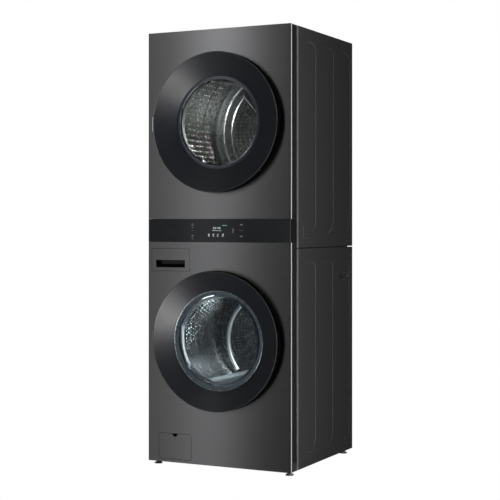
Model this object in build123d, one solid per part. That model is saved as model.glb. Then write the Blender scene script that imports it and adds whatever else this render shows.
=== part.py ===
from build123d import *
import math
import os

# Stacked washer and dryer, in millimetres.
# The pieces are drawn with y = 0 on the face of the front panels, +Y to the back,
# +Z up from the floor and x = 0 in the middle; the whole is moved at the end so that
# the origin lies on the floor under the middle of its bounding box.

# Cabinet
WIDTH = 686.0                # over the side panels
CABINET_DEPTH = 684.5        # front panel face to the rear edge of the sides
FOOT_HEIGHT = 18.0           # floor to the underside of the cabinet
WASHER_PANEL_HEIGHT = 957.5  # lower front panel
BAND_HEIGHT = 100.5          # control band between the two front panels
DRYER_PANEL_HEIGHT = 813.0   # upper front panel
SIDE_SEAM_DROP = 26.0        # top of the lower side panels below the control band
SEAM_GAP = 4.0               # dark gap between lower and upper side panels
SHEET = 1.2                  # painted steel sheet
FLANGE = 15.0                # inward return of a side panel
PANEL_RETURN = 23.0          # side return of a front panel
STRIP = 39.0                 # depth of the dark frame strip behind the return
UPRIGHT_WIDTH = 33.4
UPRIGHT_INSET = 0.6
UPRIGHT_WALL = 2.0
SIDE_NOSE_R = 10.0           # rounded leading edge of a side panel
TOP_SHEET = 2.4
TOP_FIELD = 1.2              # depth of the pressed field in the top
TOP_BORDER = 30.0            # flat border at the sides of the top
TOP_BORDER_END = 60.0        # and at its front and rear
FIT = 0.3                    # play between separate pieces
RUN = 0.05                   # radial play of a running fit

# Side panel pressings: front and rear edge of each bead, as shares of the cabinet depth
UPPER_BEADS = ((0.203, 0.387), (0.489, 0.675), (0.779, 0.957))
LOWER_BEADS = ((0.190, 0.384), (0.475, 0.663), (0.760, 0.947))
BEAD_DEPTH = 2.5
BEAD_TOP_R = 32.0
UPPER_BEAD_FOOT = 61.5       # bead end above the upper panel's lower edge
UPPER_BEAD_HEAD = 56.0       # bead end below the top
LOWER_BEAD_FOOT = 54.0
LOWER_BEAD_HEAD = 60.5
CORNER_MARK_Y = 118.0        # small L-shaped pressing near each lower corner
CORNER_MARK_RISE = 24.5
CORNER_MARK_LEG = 64.0
CORNER_MARK_FOOT = 67.0
CORNER_MARK_WIDTH = 14.0
CORNER_MARK_DEPTH = 1.2
GRIP_FROM_REAR = 100.5       # middle of the oval recess in a lower side
GRIP_DROP = 134.0            # its middle below the lower panel's top edge
GRIP_LENGTH = 96.0
GRIP_HEIGHT = 37.0
GRIP_DEPTH = 5.0

# Doors
DOOR_R = 300.0
DOOR_PROUD = 36.0            # front rim of a door ahead of the panel
DOOR_BACK = 4.0              # rear of a door ahead of the panel
DOOR_WALL = 4.0
RIM_BEVEL = 3.0
FLANGE_PLATE = 2.5           # rear cover plate of a door
WASHER_AXIS_DROP = 421.5     # washer axis below the control band
DRYER_AXIS_RISE = 412.0      # dryer axis above the control band
WASHER_WINDOW_R = 214.5
WASHER_WINDOW_SET = 2.0      # inner edge of the washer ring ahead of the panel
DRYER_WINDOW_R = 199.5
DRYER_WINDOW_SET = 0.0
OPENING_R = 232.0            # round hole in a front panel
PLUG_R = 222.0               # part of a door that enters the hole
PLUG_IN_R = 212.0
PLUG_DEPTH = 22.0
LEDGE_Y = 9.0                # ledge that holds the glass
LEDGE = 3.0
BOWL_R = 192.0
BOWL_DEPTH = 62.0
BOWL_GLASS = 5.0
PANE_R = 187.0
PANE_DEPTH = 26.0
PANE_GLASS = 4.0
HINGE_OUT = 6.0              # hinge pin outside the rim of the door
HINGE_Y = -18.0
HINGE_R = 5.0
HINGE_PIN_R = 3.0
HINGE_HALF = 32.0
HINGE_ARM_HALF = 14.0
HINGE_LEAF = 2.0
HINGE_ARM_PLATE = 2.5
HINGE_REACH = 66.0           # both leaves, from the pin towards the round opening
POCKET_DEPTH = 30.0          # finger pockets in the edge of a door
POCKET_WALL = 6.0
POCKET_LIP = 7.0
WASHER_POCKETS = ((11.0, 46.0),)
DRYER_POCKETS = ((10.0, 45.0), (-45.0, -10.0))
HOOK_X = 246.0
HOOK_THICK = 4.0
HOOK_TIP = 6.0
HOOK_LENGTH = 18.0
HOOK_HALF = 8.0
LOCK_CLEAR = 5.0             # lock body to the upright of the frame
LOCK_DEPTH = 42.0
LOCK_HALF = 45.0

# Control band
GLASS_THICK = 5.0
CHEEK = 8.0
TRAY_WALL = 2.5
TRAY_DEPTH = 36.0
BOARD_HALF = 150.0
BOARD_THICK = 1.6
BOARD_Y = 13.0
DISPLAY_HALF = 44.0
DISPLAY_HEIGHT = 52.0
CHIP_XS = (-110.0, 80.0, 112.0)
CHIP_WIDTH = 22.0

# Detergent drawer and dispenser
DRAWER_EDGE = 18.0           # drawer front from the left side of the cabinet
DRAWER_WIDTH = 188.4
DRAWER_DROP = 29.5           # top of the drawer front below the control band
DRAWER_FRONT_HEIGHT = 96.0
DRAWER_FRONT_THICK = 18.0
DRAWER_CORNER_R = 6.0
DRAWER_GAP = 1.2
SLOT_EDGE = 21.0             # finger slot from the left end of the drawer front
SLOT_WIDTH = 144.0
SLOT_RISE = 15.0             # finger slot above the lower edge of the drawer front
SLOT_HEIGHT = 32.0
SLOT_DEPTH = 15.5
TRAY_EDGE = 20.5             # tray from the left end of the drawer front
TRAY_WIDTH = 157.0
TRAY_LENGTH = 300.0
TRAY_HEIGHT = 74.0
TRAY_SHELL = 2.5
DISPENSER_SHELL = 2.0
DISPENSER_LENGTH = 350.0
FILL_HOSE_R = 18.0
FILL_HOSE_INSET = 104.5      # from the left side of the tray
FILL_HOSE_Y = 300.0

# Service flap and drain pump
FLAP_EDGE = 54.0             # flap from the left side of the cabinet
FLAP_WIDTH = 159.5
FLAP_RISE = 15.0             # lower edge above the underside of the cabinet
FLAP_HEIGHT = 109.5
FLAP_THICK = 3.0
FLAP_GAP = 1.5
FLAP_CORNER_R = 8.0
FLAP_NOTCH_WIDTH = 25.0
FLAP_NOTCH_DEPTH = 13.0
FLAP_PIN_R = 2.5
FLAP_PIN_RISE = 8.0
FLAP_PIN_Y = 4.0
FLAP_EAR = 3.0
PUMP_RISE = 70.0             # pump axis above the underside of the cabinet
PUMP_Y0 = 34.0
PUMP_Y1 = 150.0
PUMP_R = 32.0
PUMP_WALL = 5.0
PUMP_MOTOR_R = 28.0
PUMP_MOTOR_LENGTH = 65.0
FILTER_CAP_R = 30.0
FILTER_CAP_Y = 22.0
FILTER_GRIP_Y = 10.0
STRAINER_R = 23.0
STRAINER_LENGTH = 62.0
SUMP_HOSE_R = 20.0
SUMP_HOSE_BEND = 25.0
SUMP_X = -109.25             # sump outlet under the tub
SUMP_Y = 200.0
SUMP_DROP = 14.0             # its end below the tub
PUMP_INLET_Y = 110.0         # side inlet of the filter chamber
DRAIN_R = 11.0
DRAIN_SPIGOT = 28.0
DRAIN_INSET = 43.0           # drain outlet from the left side of the cabinet
DRAIN_DROP = 100.0           # drain outlet below the lower panel's top edge
DRAIN_CLEAR = 2.0            # hole in the rear panel round the outlet

# Base frame and feet
BASE_HEIGHT = 36.0
BASE_PLATE = 3.0
BASE_WALL = 2.5
FOOT_INSET = 25.0            # foot axis from the side of the cabinet
FOOT_FRONT_Y = 45.0
FOOT_REAR_INSET = 50.5
FOOT_R = 17.5
FOOT_DISC = 7.0
FOOT_STUD_R = 5.0
FOOT_STUD_TOP = 50.0
FOOT_NUT_R = 11.0
FOOT_BOSS_R = 13.0

# Washer inside
TUB_R = 304.0
TUB_WALL = 4.0
TUB_FRONT_Y = 110.0
TUB_SPLIT_Y = 350.0
TUB_FROM_REAR = 82.5         # rear wall of the tub ahead of the cabinet's rear edge
TUB_CLAMP = 10.0
TUB_NECK_R = 232.0
TUB_NECK = 14.0
HUB_R = 42.0
HUB_LENGTH = 38.0
DRUM_R = 280.0
DRUM_SHELL = 1.6
DRUM_FRONT_Y = 120.0
DRUM_FROM_TUB = 50.0         # rear of the drum ahead of the rear of the tub
DRUM_MOUTH_R = 236.0
LIFTER_COUNT = 3
LIFTER_TURN = 150.0          # turn of the first lifter from the bottom
LIFTER_HEIGHT = 62.0
LIFTER_WIDTH = 84.0
LIFTER_END = 20.0
SPIDER_ARM_R = 262.0
SPIDER_ARM_WIDTH = 44.0
SPIDER_THICK = 30.0
SHAFT_R = 15.0
ROTOR_R = 144.0
ROTOR_WALL = 4.0
ROTOR_BEHIND_TUB = 54.0
STATOR_R = 132.0
STATOR_TEETH = 18
MAGNET_R = 133.5
WEIGHT_R = 300.0
WEIGHT_IN_R = 244.0
WEIGHT_THICK = 40.0
WEIGHT_SPAN = 140.0
GASKET_WALL = 3.0
GASKET_LIP_R = 206.0
DAMPER_X = 180.0
DAMPER_YS = (300.0, 420.0)
DAMPER_R = 16.0
DAMPER_ROD_R = 8.0
SPRING_X = 250.0
SPRING_Y = 430.0
SPRING_R = 14.0
SPRING_WIRE_R = 2.2
SPRING_TURNS = 9
EAR_WIDTH = 34.0
VALVE_XS = (228.0, 272.0)
VALVE_DROP = 50.0            # inlet valves below the lower panel's top edge
VALVE_THREAD_R = 13.49
VALVE_THREAD = 18.0
VALVE_DEPTH = 44.0
VALVE_HOSE_R = 8.0

# Dryer inside
DECK_PLATE = 2.0
DECK_LIP = 22.0
DECK_RAIL = 16.0
BULKHEAD = 4.0
BULKHEAD_FRONT_Y = 64.0
BULKHEAD_FROM_REAR = 81.5
BULKHEAD_MARGIN = 8.0
THROAT_R = 231.5
THROAT_WALL = 3.0
THROAT_STEP_Y = 26.0
MOUTH_R = 200.0
DRYER_DRUM_R = 316.0
DRYER_DRUM_SHELL = 2.0
DRUM_OVERLAP = 28.0          # drum ends over the bulkhead flanges
DRYER_LIFTER_HEIGHT = 78.0
DRYER_LIFTER_WIDTH = 66.0
VENT_R0 = 95.0
VENT_R1 = 232.0
VENT_HALF_ANGLE = 42.0
VENT_SIDE = -1               # the vent is in the left half of the rear bulkhead
VENT_ROWS = 6
VENT_HOLE_R = 5.5
VENT_PITCH = 17.0
CHUTE_HALF = 100.0
CHUTE_WALL = 2.5
CHUTE_RISE = 12.0            # lower end of the lint chute above the control band
FILTER_HALF = 80.0
FILTER_THICK = 20.0
FILTER_BAR = 6.0
FILTER_MESH = 0.8
FILTER_PLAY = 1.0
MOTOR_X = 90.0
MOTOR_RISE = 108.0           # motor axis above the lower edge of the upper sides
MOTOR_R = 55.0
MOTOR_Y0 = 200.0
MOTOR_Y1 = 320.0
MOTOR_SHAFT_R = 8.0
BLOWER_Y0 = 110.0
BLOWER_Y1 = 186.0
BLOWER_R = 92.0
BLOWER_WALL = 2.0
WHEEL_R = 80.0
WHEEL_DEPTH = 44.0
WHEEL_BLADES = 20
BLOWER_EYE_R = 58.0
DUCT_X = -120.0
DUCT_RISE = 58.5             # duct axis above the lower edge of the upper sides
DUCT_R = 50.8
COLLAR_LENGTH = 51.5         # exhaust collar behind the cabinet
BELT_Y0 = 338.0
BELT_WIDTH = 14.0
BELT_THICK = 2.5
PULLEY_R = 13.0
IDLER_X = -20.0
IDLER_RISE = 98.0
IDLER_R = 20.0
IDLER_PIN_R = 5.0
ROLLER_R = 35.0
ROLLER_PIN_R = 6.0
ROLLER_WIDTH = 24.0
ROLLER_FROM_BULKHEAD = 51.0
ROLLER_ANGLE = 30.0          # from the bottom of the drum
HEATER_X0 = -285.0
HEATER_X1 = -95.0
HEATER_DEPTH = 66.0
HEATER_BELOW = 290.0         # heater box ends below and above the dryer axis
HEATER_ABOVE = 175.0
CORD_BORE_R = 14.0
CORD_BOSS_R = 19.0
CORD_BOSS = 8.0
CORD_X = 250.0
CORD_RISE = 70.0

# Places worked out from the sizes above
HALF = WIDTH / 2
INNER = HALF - SHEET
WASHER_TOP = FOOT_HEIGHT + WASHER_PANEL_HEIGHT
BAND_TOP = WASHER_TOP + BAND_HEIGHT
HEIGHT = BAND_TOP + DRYER_PANEL_HEIGHT
SEAM_Z = WASHER_TOP - SIDE_SEAM_DROP
UPPER_Z = SEAM_Z + SEAM_GAP
DECK_Z = UPPER_Z + DECK_PLATE
FRAME_Y1 = PANEL_RETURN + STRIP
BACK_Y = CABINET_DEPTH - SHEET
WASHER_Z = WASHER_TOP - WASHER_AXIS_DROP
DRYER_Z = BAND_TOP + DRYER_AXIS_RISE
BASE_TOP = FOOT_HEIGHT + BASE_HEIGHT
PLATE_TOP = FOOT_HEIGHT + BASE_PLATE
RING_BACK = -DOOR_BACK - FLANGE_PLATE
HINGE_X = -DOOR_R - HINGE_OUT
DRAWER_Z1 = WASHER_TOP - DRAWER_DROP
DRAWER_Z0 = DRAWER_Z1 - DRAWER_FRONT_HEIGHT
DRAWER_X0 = -HALF + DRAWER_EDGE
DRAWER_X1 = DRAWER_X0 + DRAWER_WIDTH
SLOT_X0 = DRAWER_X0 + SLOT_EDGE
SLOT_X1 = SLOT_X0 + SLOT_WIDTH
TRAY_X0 = DRAWER_X0 + TRAY_EDGE
TRAY_X1 = TRAY_X0 + TRAY_WIDTH
FILL_HOSE_X = TRAY_X0 + FILL_HOSE_INSET
RAIL_Z = SEAM_Z + 1.5
FLAP_Z0 = FOOT_HEIGHT + FLAP_RISE
FLAP_X0 = -HALF + FLAP_EDGE
FLAP_X1 = FLAP_X0 + FLAP_WIDTH
FLAP_X = (FLAP_X0 + FLAP_X1) / 2
PUMP_Z = FOOT_HEIGHT + PUMP_RISE
MOTOR_Z = UPPER_Z + MOTOR_RISE
DUCT_Z = UPPER_Z + DUCT_RISE
IDLER_Z = UPPER_Z + IDLER_RISE
DRAIN_Z = SEAM_Z - DRAIN_DROP
VALVE_Z = SEAM_Z - VALVE_DROP
CHUTE_Z0 = BAND_TOP + CHUTE_RISE
CHUTE_Y0 = THROAT_STEP_Y + THROAT_WALL
BULKHEAD_REAR_Y = CABINET_DEPTH - BULKHEAD_FROM_REAR
ROLLER_Y0 = BULKHEAD_REAR_Y - ROLLER_FROM_BULKHEAD
FLANGE_R = DRYER_DRUM_R - DRYER_DRUM_SHELL - FIT
DRYER_DRUM_Y0 = BULKHEAD_FRONT_Y + BULKHEAD + 2.0
DRYER_DRUM_Y1 = BULKHEAD_REAR_Y - 2.0
GRIP_Y = CABINET_DEPTH - GRIP_FROM_REAR
FOOT_X = HALF - FOOT_INSET
FOOT_REAR_Y = CABINET_DEPTH - FOOT_REAR_INSET
TUB_REAR_Y = CABINET_DEPTH - TUB_FROM_REAR
DRUM_REAR_Y = TUB_REAR_Y - DRUM_FROM_TUB
ROTOR_Y1 = TUB_REAR_Y + ROTOR_BEHIND_TUB
DRAIN_X = -HALF + DRAIN_INSET
LOCK_X1 = HALF - UPRIGHT_INSET - UPRIGHT_WIDTH - LOCK_CLEAR
CENTRE_Y = (CABINET_DEPTH + COLLAR_LENGTH - DOOR_PROUD) / 2


def block(x0, x1, y0, y1, z0, z1):
    """A box between two opposite corners."""
    middle = Pos((x0 + x1) / 2, (y0 + y1) / 2, (z0 + z1) / 2)
    return middle * Box(x1 - x0, y1 - y0, z1 - z0)


def rod_x(r, x0, x1, y, z):
    return Pos((x0 + x1) / 2, y, z) * Rot(0, 90, 0) * Cylinder(r, x1 - x0)


def rod_y(r, y0, y1, x=0.0, z=0.0):
    return Pos(x, (y0 + y1) / 2, z) * Rot(90, 0, 0) * Cylinder(r, y1 - y0)


def rod_z(r, z0, z1, x, y):
    return Pos(x, y, (z0 + z1) / 2) * Cylinder(r, z1 - z0)


def tube_y(r_out, r_in, y0, y1, x=0.0, z=0.0):
    return rod_y(r_out, y0, y1, x, z) - rod_y(r_in, y0 - 1, y1 + 1, x, z)


def turned(points, z=0.0, x=0.0):
    """A (radius, y) outline turned about an axis that runs front to back."""
    return Pos(x, 0, z) * revolve(make_face(Polyline(*points, close=True)), Axis.Y)


def turned_arc(points, z, low, high):
    """As turned, but only from the angle low to high, in degrees above +X."""
    piece = revolve(make_face(Polyline(*points, close=True)), Axis.Y, high - low)
    return Pos(0, 0, z) * Rot(0, -high, 0) * piece


def rounded_plate(x0, x1, y0, y1, z0, z1, r):
    """A plate facing the front, with rounded corners."""
    plate = block(x0, x1, y0, y1, z0, z1)
    return fillet(plate.edges().filter_by(Axis.Y), r)


def hose(points, radius, r_out, r_in):
    """A round hose along straight runs joined by bends."""
    path = FilletPolyline(*points, radius=radius)
    start = Plane(origin=path @ 0, z_dir=path % 0)
    return sweep(start * (Circle(r_out) - Circle(r_in)), path)


def inside_sides(y1, z0, z1):
    """A plate that fills the width between the side panels, from their nose to y1."""
    plate = block(-INNER, INNER, FRAME_Y1 + SHEET, y1, z0, z1)
    nose = plate.edges().filter_by(Axis.Z).group_by(Axis.Y)[0]
    return fillet(nose, SIDE_NOSE_R)


# ---------------------------------------------------------------- cabinet

def base_frame():
    """Pressed base: floor plate, raised edge and a threaded boss for each foot."""
    wide = HALF - UPRIGHT_INSET
    neck = HALF - FLANGE - FIT
    outer = block(-wide, wide, PANEL_RETURN, FRAME_Y1, FOOT_HEIGHT, BASE_TOP)
    outer += block(-neck, neck, FRAME_Y1, FRAME_Y1 + SHEET, FOOT_HEIGHT, BASE_TOP)
    outer += inside_sides(BACK_Y - SHEET, FOOT_HEIGHT, BASE_TOP)
    hollow = block(-neck + BASE_WALL, neck - BASE_WALL, PANEL_RETURN + BASE_WALL,
                   BACK_Y - SHEET - BASE_WALL, PLATE_TOP, BASE_TOP + 1)
    base = outer - hollow
    for x in (-FOOT_X, FOOT_X):
        for y in (FOOT_FRONT_Y, FOOT_REAR_Y):
            base += rod_z(FOOT_BOSS_R, FOOT_HEIGHT, BASE_TOP, x, y)
    for x in (-FOOT_X, FOOT_X):
        for y in (FOOT_FRONT_Y, FOOT_REAR_Y):
            base -= rod_z(FOOT_STUD_R + RUN, FOOT_HEIGHT - 1, BASE_TOP + 1, x, y)
    return base


def levelling_foot(x, y):
    """Foot disc, lock nut and threaded stud."""
    profile = ((0, 0), (FOOT_R, 0), (FOOT_R, FOOT_DISC * 0.6), (FOOT_R * 0.7, FOOT_DISC),
               (FOOT_STUD_R, FOOT_DISC), (FOOT_STUD_R, FOOT_STUD_TOP), (0, FOOT_STUD_TOP))
    foot = Rot(90, 0, 0) * revolve(make_face(Polyline(*profile, close=True)), Axis.Y)
    nut = extrude(RegularPolygon(FOOT_NUT_R, 6), FOOT_DISC)
    nut_z = FOOT_HEIGHT - 1.0 - FOOT_DISC
    return Pos(x, y, 0) * (foot + Pos(0, 0, nut_z) * nut)


def bead_outline(y0, y1, z0, z1, top_r):
    """Long pressing with a round lower end and small corners at its upper end."""
    shape = Pos((y0 + y1) / 2, (z0 + z1) / 2) * Rectangle(y1 - y0, z1 - z0)
    shape = fillet(shape.vertices().group_by(Axis.Y)[0], (y1 - y0) / 2 - 0.05)
    return fillet(shape.vertices().group_by(Axis.Y)[-1][0:2], top_r)


def press(panel, outline, depth):
    """Press an outline into the outer face of a right-hand panel."""
    floor = Plane.YZ.offset(HALF - depth)
    behind = Plane.YZ.offset(HALF - depth - SHEET)
    backing = extrude(behind * offset(outline, SHEET / 2), depth, taper=-45)
    recess = extrude(floor * outline, depth + 0.01, taper=-45)
    return panel + backing - recess


def side_sheet(z0, z1):
    """Sheet with returns at the front, the rear and the top."""
    outer = block(HALF - FLANGE, HALF, FRAME_Y1, CABINET_DEPTH, z0, z1)
    nose = outer.edges().filter_by(Axis.Z).sort_by(Axis.X)[-2:]
    outer = fillet(nose.sort_by(Axis.Y)[0:1], SIDE_NOSE_R)
    inner = block(HALF - FLANGE - 1, INNER, FRAME_Y1 + SHEET, BACK_Y, z0 - 1, z1 - SHEET)
    nose = inner.edges().filter_by(Axis.Z).sort_by(Axis.X)[-2:]
    inner = fillet(nose.sort_by(Axis.Y)[0:1], SIDE_NOSE_R - SHEET)
    return outer - inner


def inset_bead(y0, y1, z0, z1):
    d = BEAD_DEPTH
    return bead_outline(y0 + d, y1 - d, z0 + d, z1 - d, BEAD_TOP_R - d)


def corner_mark(mirrored):
    """L-shaped pressing at a lower corner of an upper side panel."""
    leg = Pos(CORNER_MARK_WIDTH / 2, CORNER_MARK_LEG / 2) \
        * Rectangle(CORNER_MARK_WIDTH, CORNER_MARK_LEG)
    foot = Pos(CORNER_MARK_FOOT / 2, CORNER_MARK_WIDTH / 2) \
        * Rectangle(CORNER_MARK_FOOT, CORNER_MARK_WIDTH)
    mark = leg + foot
    if mirrored:
        y = LOWER_BEADS[-1][1] * CABINET_DEPTH + CORNER_MARK_WIDTH
        return Pos(y, UPPER_Z + CORNER_MARK_RISE) * mirror(mark, Plane.YZ)
    return Pos(CORNER_MARK_Y, UPPER_Z + CORNER_MARK_RISE) * mark


def upper_side():
    """Right-hand dryer side: three long beads and two corner marks."""
    panel = side_sheet(UPPER_Z, HEIGHT)
    for front, rear in UPPER_BEADS:
        outline = inset_bead(front * CABINET_DEPTH, rear * CABINET_DEPTH,
                             UPPER_Z + UPPER_BEAD_FOOT, HEIGHT - UPPER_BEAD_HEAD)
        panel = press(panel, outline, BEAD_DEPTH)
    for mirrored in (False, True):
        panel = press(panel, corner_mark(mirrored), CORNER_MARK_DEPTH)
    return panel


def lower_side():
    """Right-hand washer side: three long beads and the oval recess near the rear."""
    panel = side_sheet(FOOT_HEIGHT, SEAM_Z)
    for front, rear in LOWER_BEADS:
        outline = inset_bead(front * CABINET_DEPTH, rear * CABINET_DEPTH,
                             FOOT_HEIGHT + LOWER_BEAD_FOOT, SEAM_Z - LOWER_BEAD_HEAD)
        panel = press(panel, outline, BEAD_DEPTH)
    oval = Pos(GRIP_Y, SEAM_Z - GRIP_DROP) * SlotOverall(GRIP_LENGTH - 10, GRIP_HEIGHT - 10)
    panel = press(panel, oval, GRIP_DEPTH)
    bolt = rod_x(5.0, HALF - 20, HALF + 1, GRIP_Y + 30, SEAM_Z - GRIP_DROP + 6)
    hook = extrude(Plane.YZ.offset(HALF - 20) * Pos(GRIP_Y - 14, SEAM_Z - GRIP_DROP)
                   * Triangle(c=22, a=20, b=20), 21)
    return panel - bolt - hook


def front_sheet(z0, z1, axis_z):
    """Brushed front skin, folded back all round, with a lipped round opening."""
    outer = block(-HALF, HALF, 0, PANEL_RETURN, z0, z1)
    corners = outer.edges().filter_by(Axis.Z).group_by(Axis.Y)[0]
    outer = fillet(corners, 3.0)
    inner = block(-INNER, INNER, SHEET, PANEL_RETURN + 1, z0 + SHEET, z1 - SHEET)
    skin = outer - inner + rod_y(OPENING_R + SHEET, 0, 12, 0, axis_z)
    skin -= rod_y(OPENING_R, -1, PANEL_RETURN + 1, 0, axis_z)
    slot = block(HOOK_X - 4, HOOK_X + HOOK_THICK + HOOK_TIP + 7, -1, SHEET + 1,
                 axis_z - HOOK_HALF - 6, axis_z + HOOK_HALF + 6)
    return skin - slot


def washer_front_panel():
    """Lower front skin with the drawer and service openings."""
    skin = front_sheet(FOOT_HEIGHT, WASHER_TOP, WASHER_Z)
    g = DRAWER_GAP
    skin -= rounded_plate(DRAWER_X0 - g, DRAWER_X1 + g, -1, SHEET + 1,
                          DRAWER_Z0 - g, DRAWER_Z1 + g, DRAWER_CORNER_R + g)
    g = FLAP_GAP
    skin -= rounded_plate(FLAP_X0 - g, FLAP_X1 + g, -1, SHEET + 1,
                          FLAP_Z0 - g, FLAP_Z0 + FLAP_HEIGHT + g, FLAP_CORNER_R + g)
    pin_z = FLAP_Z0 + FLAP_PIN_RISE
    for x in (FLAP_X0 - g - FLAP_EAR, FLAP_X1 + g):
        skin += block(x, x + FLAP_EAR, 0, FLAP_PIN_Y + 5, pin_z - 5, pin_z + 5)
    hole = rod_x(FLAP_PIN_R + RUN, FLAP_X0 - 10, FLAP_X1 + 10, FLAP_PIN_Y, pin_z)
    return skin - hole


def front_frame():
    """Welded frame behind the front panels: two channel uprights and cross rails."""
    frame = None
    x1 = HALF - UPRIGHT_INSET
    x0 = x1 - UPRIGHT_WIDTH
    w = UPRIGHT_WALL
    top = HEIGHT - SHEET - TOP_SHEET
    upright = block(x0, x1, PANEL_RETURN, FRAME_Y1, BASE_TOP, top)
    upright -= block(x0 + w, x1 - w, PANEL_RETURN + w, FRAME_Y1 + 1, BASE_TOP + w, top - w)
    upright -= block(HALF - CHEEK - FIT, HALF, 0, FRAME_Y1 + 1, WASHER_TOP - FIT, BAND_TOP + FIT)
    frame = upright + mirror(upright, Plane.YZ)
    for z0, z1 in ((RAIL_Z, WASHER_TOP - SHEET - FIT), (top - 36, top)):
        rail = block(-x0, x0, PANEL_RETURN, FRAME_Y1, z0, z1)
        rail -= block(-x0 - 1, x0 + 1, PANEL_RETURN + w, FRAME_Y1 + 1, z0 + w, z1 - w)
        frame += rail
    return frame


def rear_sheet(z0, z1):
    return block(-INNER, INNER, BACK_Y - SHEET, BACK_Y, z0, z1)


def washer_rear_panel():
    """Lower rear panel: holes for the water inlets and the drain outlet."""
    panel = rear_sheet(FOOT_HEIGHT, SEAM_Z - SHEET)
    for x in VALVE_XS:
        panel -= rod_y(VALVE_THREAD_R + 1, BACK_Y - 3, BACK_Y + 1, x, VALVE_Z)
    panel -= rod_y(DRAIN_R + DRAIN_CLEAR, BACK_Y - 3, BACK_Y + 1, DRAIN_X, DRAIN_Z)
    cover = tube_y(ROTOR_R + 30, ROTOR_R + 18, BACK_Y - 1, CABINET_DEPTH + 1.5, 0, WASHER_Z)
    return panel + cover


def dryer_rear_panel():
    """Upper rear panel: exhaust hole, cord bush and cooling slots."""
    panel = rear_sheet(UPPER_Z, HEIGHT - SHEET)
    panel -= rod_y(DUCT_R + 1, BACK_Y - 3, BACK_Y + 1, DUCT_X, DUCT_Z)
    cord_z = UPPER_Z + CORD_RISE
    panel += rod_y(CORD_BOSS_R, BACK_Y - SHEET, BACK_Y - SHEET + CORD_BOSS, CORD_X, cord_z)
    panel -= rod_y(CORD_BORE_R, BACK_Y - 9, BACK_Y + CORD_BOSS, CORD_X, cord_z)
    for i in range(8):
        z = HEIGHT - 90 - 16 * i
        panel -= block(-120, 120, BACK_Y - 3, BACK_Y + 1, z, z + 6)
    return panel


def top_cover():
    """Top sheet under the returns of the side panels, with a shallow pressed field."""
    z1 = HEIGHT - SHEET
    z0 = z1 - TOP_SHEET
    neck = HALF - FLANGE - FIT
    cover = inside_sides(BACK_Y - SHEET, z0, z1)
    cover += block(-neck, neck, FRAME_Y1 - 1, FRAME_Y1 + SHEET + 1, z0, HEIGHT)
    wide = HALF - UPRIGHT_INSET
    cover += block(-wide, wide, PANEL_RETURN, FRAME_Y1, z0, HEIGHT)
    edge = neck - TOP_BORDER
    field = block(-edge, edge, FRAME_Y1 + TOP_BORDER_END, BACK_Y - TOP_BORDER_END,
                  z1 - TOP_FIELD, z1 + 1)
    return cover - fillet(field.edges().filter_by(Axis.Z), TOP_BORDER)


def middle_deck():
    """Floor of the dryer: lipped plate on two spacer rails, with the spring hangers."""
    y0, y1 = FRAME_Y1 + SHEET, BACK_Y - SHEET
    neck = HALF - FLANGE - FIT
    deck = inside_sides(y1, UPPER_Z, UPPER_Z + DECK_LIP)
    deck -= block(-INNER + DECK_PLATE, INNER - DECK_PLATE, y0 - 1, y1 - DECK_PLATE,
                  DECK_Z, UPPER_Z + DECK_LIP + 1)
    deck += block(-neck, neck, FRAME_Y1, y0 + 1, UPPER_Z, DECK_Z)
    deck -= rod_y(DUCT_R + 1, y1 - 3 * DECK_PLATE, y1 + 1, DUCT_X, DUCT_Z)
    for side in (-1, 1):
        inner, outer = sorted((side * (INNER - 4), side * (INNER - 4 - DECK_RAIL)))
        deck += block(inner, outer, y0 + 20, y1 - 45, SEAM_Z, UPPER_Z)
        x = side * SPRING_X
        deck += block(x - EAR_WIDTH / 2, x + EAR_WIDTH / 2, SPRING_Y - 4, SPRING_Y + 4,
                      SEAM_Z - 25, UPPER_Z)
    return deck


# ---------------------------------------------------------------- control band

def control_glass():
    """Touch glass across the whole band."""
    return block(-HALF + 1, HALF - 1, 0, GLASS_THICK, WASHER_TOP + FIT, BAND_TOP - FIT)


def control_housing():
    """Black tray behind the glass, with a cheek that closes each end of the band."""
    z0, z1 = WASHER_TOP + FIT, BAND_TOP - FIT
    x = HALF - CHEEK
    tray = block(-x, x, GLASS_THICK, GLASS_THICK + TRAY_DEPTH / 2, z0, z1)
    tray -= block(-x + 1, x - 1, GLASS_THICK + TRAY_WALL, GLASS_THICK + TRAY_DEPTH,
                  z0 + TRAY_WALL, z1 - TRAY_WALL)
    for side in (-1, 1):
        x0, x1 = sorted((side * x, side * HALF))
        tray += block(x0, x1, GLASS_THICK, FRAME_Y1, z0, z1)
    middle = (z0 + z1) / 2
    tray -= block(-DISPLAY_HALF, DISPLAY_HALF, GLASS_THICK - 1, GLASS_THICK + TRAY_WALL + 1,
                  middle - DISPLAY_HEIGHT / 2, middle + DISPLAY_HEIGHT / 2)
    for sx in (-1, 1):
        for sz in (-1, 1):
            tray += rod_y(4, GLASS_THICK, BOARD_Y, sx * (BOARD_HALF - 8), middle + sz * 32)
    return tray


def control_board():
    """Circuit board with the display that looks through the tray's window."""
    middle = (WASHER_TOP + BAND_TOP) / 2
    board = block(-BOARD_HALF, BOARD_HALF, BOARD_Y, BOARD_Y + BOARD_THICK,
                  middle - 40, middle + 40)
    board += block(-DISPLAY_HALF + 1, DISPLAY_HALF - 1, GLASS_THICK, BOARD_Y,
                   middle - DISPLAY_HEIGHT / 2 + 1, middle + DISPLAY_HEIGHT / 2 - 1)
    for x in CHIP_XS:
        board += block(x, x + CHIP_WIDTH, BOARD_Y + BOARD_THICK, BOARD_Y + 9, middle - 15, middle + 12)
    return board


# ---------------------------------------------------------------- doors

def dish(r, window_r, window_set):
    """Depth of a door ring's dished face at the radius r."""
    rim_r = DOOR_R - RIM_BEVEL
    rise = (DOOR_PROUD - window_set) / (rim_r - window_r)
    return -DOOR_PROUD + (rim_r - r) * rise


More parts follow.
